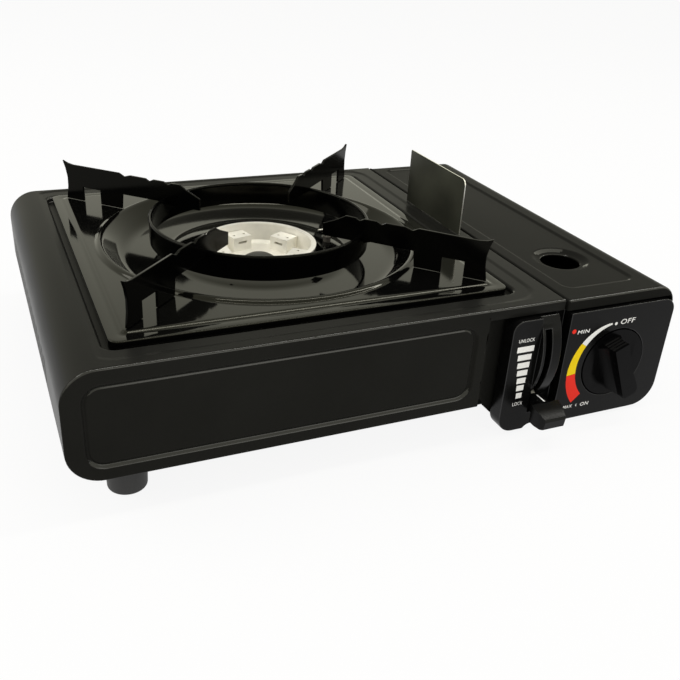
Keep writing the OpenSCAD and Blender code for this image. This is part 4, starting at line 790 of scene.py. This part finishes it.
rim_circle = tray_mid + dish_line[0][0] * spoke
for u in np.linspace(0, 1, 9)[1:-1]:
    tray_rings.append(at_height(square * (1 - u) + rim_circle * u, flat_z))
for radius, z in dish_line:
    tray_rings.append(at_height(tray_mid + radius * spoke, z))
tray = surface("tray_enamelled", [tray_rings], (*tray_mid, 60), closed=(0,), sharp=50)
walled(tray)
dress(tray, enamel, "tray", "tray_enamel", "drip_tray")

# ---- Pot trivet ----
# A pressed ring with four notched arms spot-welded in it, enamelled like the tray. The arms' legs
# stand on the tray.

arm_enamel = finish("arm_enamel", (0.001, 0.001, 0.001), 0.12, mottle=30, grain=400, bump=0.02,
                    rough_wander=0.3, shine=0.07, tint=(1, 0.99, 0.8))
for node in ("trivet_ring", "trivet_arm_left_front", "trivet_arm_right_front",
             "trivet_arm_left_back", "trivet_arm_right_back"):
    dress(eased(node, 0.35, node + "_enamelled"), arm_enamel, "trivet", "tray_enamel", node)

# ---- Burner ----
# A cast aluminium bowl with port blocks and a dark steel cap, on a base with its mixing tube,
# and the spark electrode beside it.

alloy = finish("burner_alloy", (0.8, 0.78, 0.71), 0.36, metal=0.35, mottle=70, grain=900, bump=0.08)
cap_steel = finish("burner_dark_steel", (0.03, 0.03, 0.028), 0.45, metal=0.5, mottle=70)
ceramic = finish("sooty_ceramic", (0.09, 0.082, 0.07), 0.3, wander=0.4, mottle=300)
dress(eased("burner_bowl", 0.4, "burner_bowl_cast"), alloy, "casing", "burner_alloy", "burner_bowl")
dress(eased("burner_cap", 0.4, "burner_cap_pressed"), cap_steel, "casing", "burner_dark",
      "burner_cap")
paint_node(alloy, "burner_base", "mixing_tube", "gas_pipe", "heat_transfer_strip")
paint_node(ceramic, "electrode")

# ---- Igniter, lead and seal ----
# The piezo igniter's pale plastic body, its red lead and the valve's black rubber seal. They keep
# their CAD shapes and only get a finish.

igniter_plastic = finish("igniter_plastic", (0.72, 0.71, 0.66), 0.45, wander=0.04)
lead_rubber = finish("red_lead", (0.45, 0.03, 0.02), 0.5, wander=0.06)
paint_node(igniter_plastic, "igniter_body")
paint_node(lead_rubber, "ignition_lead")
paint_node(rubber, "inlet_seal")

# ---- Heat shield ----
# A plate of bare hot-rolled steel that stands in two slots beside the lid. Its cut edges are
# bright.

shield_steel = finish("rolled_shield_steel", (0.072, 0.074, 0.056), 0.36, metal=0.7, wander=0.5,
                      mottle=22, grain=700, bump=0.08)
cut_steel = finish("cut_steel_edge", (0.78, 0.77, 0.72), 0.3, metal=1.0, mottle=200, grain=900)
shield = dress(eased("heat_shield", 0.2, "heat_shield_plate"), shield_steel, "shield",
               "shield_steel", "heat_shield")
give_faces(shield, np.abs(face_normals(shield)[0]) < 0.5, cut_steel)

# ---- Floor, light and camera ----
# A pale table top, three soft lamps (a window, a ceiling strip and a weak fill), a pale surround
# that looks a little warmer in reflections, and the camera at its place.


def seeing_rays(nodes, links):
    """1 for camera, glossy and transmission rays, which see the stage as pale, else 0."""
    path = nodes.new("ShaderNodeLightPath")
    value = path.outputs["Is Camera Ray"]
    for ray in ("Is Glossy Ray", "Is Transmission Ray"):
        more = nodes.new("ShaderNodeMath")
        more.operation = "MAXIMUM"
        links.new(value, more.inputs[0])
        links.new(path.outputs[ray], more.inputs[1])
        value = more.outputs["Value"]
    return value


floor_glow = 0.9  # how much of the floor the seeing rays find evenly white
stage_white = bpy.data.materials.new("pale_floor")
stage_white.use_nodes = True
nodes, links = stage_white.node_tree.nodes, stage_white.node_tree.links
shade = nodes["Principled BSDF"]
shade.inputs["Base Color"].default_value = (0.8, 0.8, 0.79, 1)
shade.inputs["Roughness"].default_value = 0.9
shade.inputs["Specular IOR Level"].default_value = 0.1
glow = nodes.new("ShaderNodeEmission")
glow.inputs["Color"].default_value = (1, 1, 1, 1)
glow.inputs["Strength"].default_value = 1.0
blend = nodes.new("ShaderNodeMixShader")
glow_share = nodes.new("ShaderNodeMath")
glow_share.operation = "MULTIPLY"
glow_share.inputs[1].default_value = floor_glow
links.new(seeing_rays(nodes, links), glow_share.inputs[0])
links.new(glow_share.outputs["Value"], blend.inputs["Fac"])
links.new(shade.outputs["BSDF"], blend.inputs[1])
links.new(glow.outputs["Emission"], blend.inputs[2])
links.new(blend.outputs["Shader"], nodes["Material Output"].inputs["Surface"])
floor_mesh = bpy.data.meshes.new("floor")
floor_mesh.from_pydata([(-6, -6, 0), (6, -6, 0), (6, 6, 0), (-6, 6, 0)], [], [(0, 1, 2, 3)])
floor_mesh.materials.append(stage_white)
floor = bpy.data.objects.new("floor", floor_mesh)
bpy.context.scene.collection.objects.link(floor)

world = bpy.data.worlds.new("white_surround")
bpy.context.scene.world = world
world.use_nodes = True
nodes, links = world.node_tree.nodes, world.node_tree.links
air = nodes["Background"]
air.inputs["Color"].default_value = (1.0, 0.985, 0.94, 1)
air.inputs["Strength"].default_value = 0.6
seen = nodes.new("ShaderNodeBackground")
seen.inputs["Strength"].default_value = 1.0
tone = nodes.new("ShaderNodeMix")
tone.data_type = "RGBA"
tone.inputs["A"].default_value = (0.95, 0.94, 0.78, 1)
tone.inputs["B"].default_value = (1, 1, 1, 1)
links.new(nodes.new("ShaderNodeLightPath").outputs["Is Camera Ray"], tone.inputs["Factor"])
links.new(tone.outputs["Result"], seen.inputs["Color"])
blend = nodes.new("ShaderNodeMixShader")
links.new(seeing_rays(nodes, links), blend.inputs["Fac"])
links.new(air.outputs["Background"], blend.inputs[1])
links.new(seen.outputs["Background"], blend.inputs[2])
links.new(blend.outputs["Shader"], nodes["World Output"].inputs["Surface"])


def soft_lamp(name, place, target, size, watts, length=None):
    """Lamp at a place, turned so that it faces the target: a square, or a strip of a length."""
    data = bpy.data.lights.new(name, "AREA")
    data.shape = "RECTANGLE"
    data.size = size
    data.size_y = length or size
    data.energy = watts
    data.color = (1, 0.98, 0.94)
    lamp = bpy.data.objects.new(name, data)
    away = np.array(place, float) - np.array(target, float)
    across = np.cross((0, 0, 1), away)
    across /= np.linalg.norm(across)
    away /= np.linalg.norm(away)
    upward = np.cross(away, across)
    turn = np.eye(4)
    turn[:3, 0], turn[:3, 1], turn[:3, 2], turn[:3, 3] = across, upward, away, place
    lamp.matrix_world = Matrix(turn.tolist())
    bpy.context.scene.collection.objects.link(lamp)


soft_lamp("window_left", (-1.3, 0.5, 1.2), (0, 0, 0.05), 1.1, 12)
soft_lamp("ceiling_strip", (0.5, -0.12, 1.4), (0, -0.1, 0.05), 0.1, 11, length=2.4)
soft_lamp("front_fill", (0.6, -1.6, 0.9), (0, 0, 0.05), 1.2, 6)

camera_place = (-193.1, -441.75, 266.1)
yaw, pitch, roll = np.radians((25.16, 27.73, 3.67))
ahead = np.array([math.sin(yaw) * math.cos(pitch), math.cos(yaw) * math.cos(pitch),
                  -math.sin(pitch)])
level = np.array([math.cos(yaw), -math.sin(yaw), 0])
over = np.cross(level, ahead)
right = math.cos(roll) * level + math.sin(roll) * over
upright = -math.sin(roll) * level + math.cos(roll) * over
camera_data = bpy.data.cameras.new("camera")
camera_data.lens = 44.3
camera_data.sensor_width = 36
camera = bpy.data.objects.new("camera", camera_data)
pose = np.eye(4)
pose[:3, 0], pose[:3, 1], pose[:3, 2] = right, upright, -ahead
pose[:3, 3] = np.array(camera_place) * MM
camera.matrix_world = Matrix(pose.tolist())
bpy.context.scene.collection.objects.link(camera)
bpy.context.scene.camera = camera
bpy.context.scene.view_settings.view_transform = "Standard"
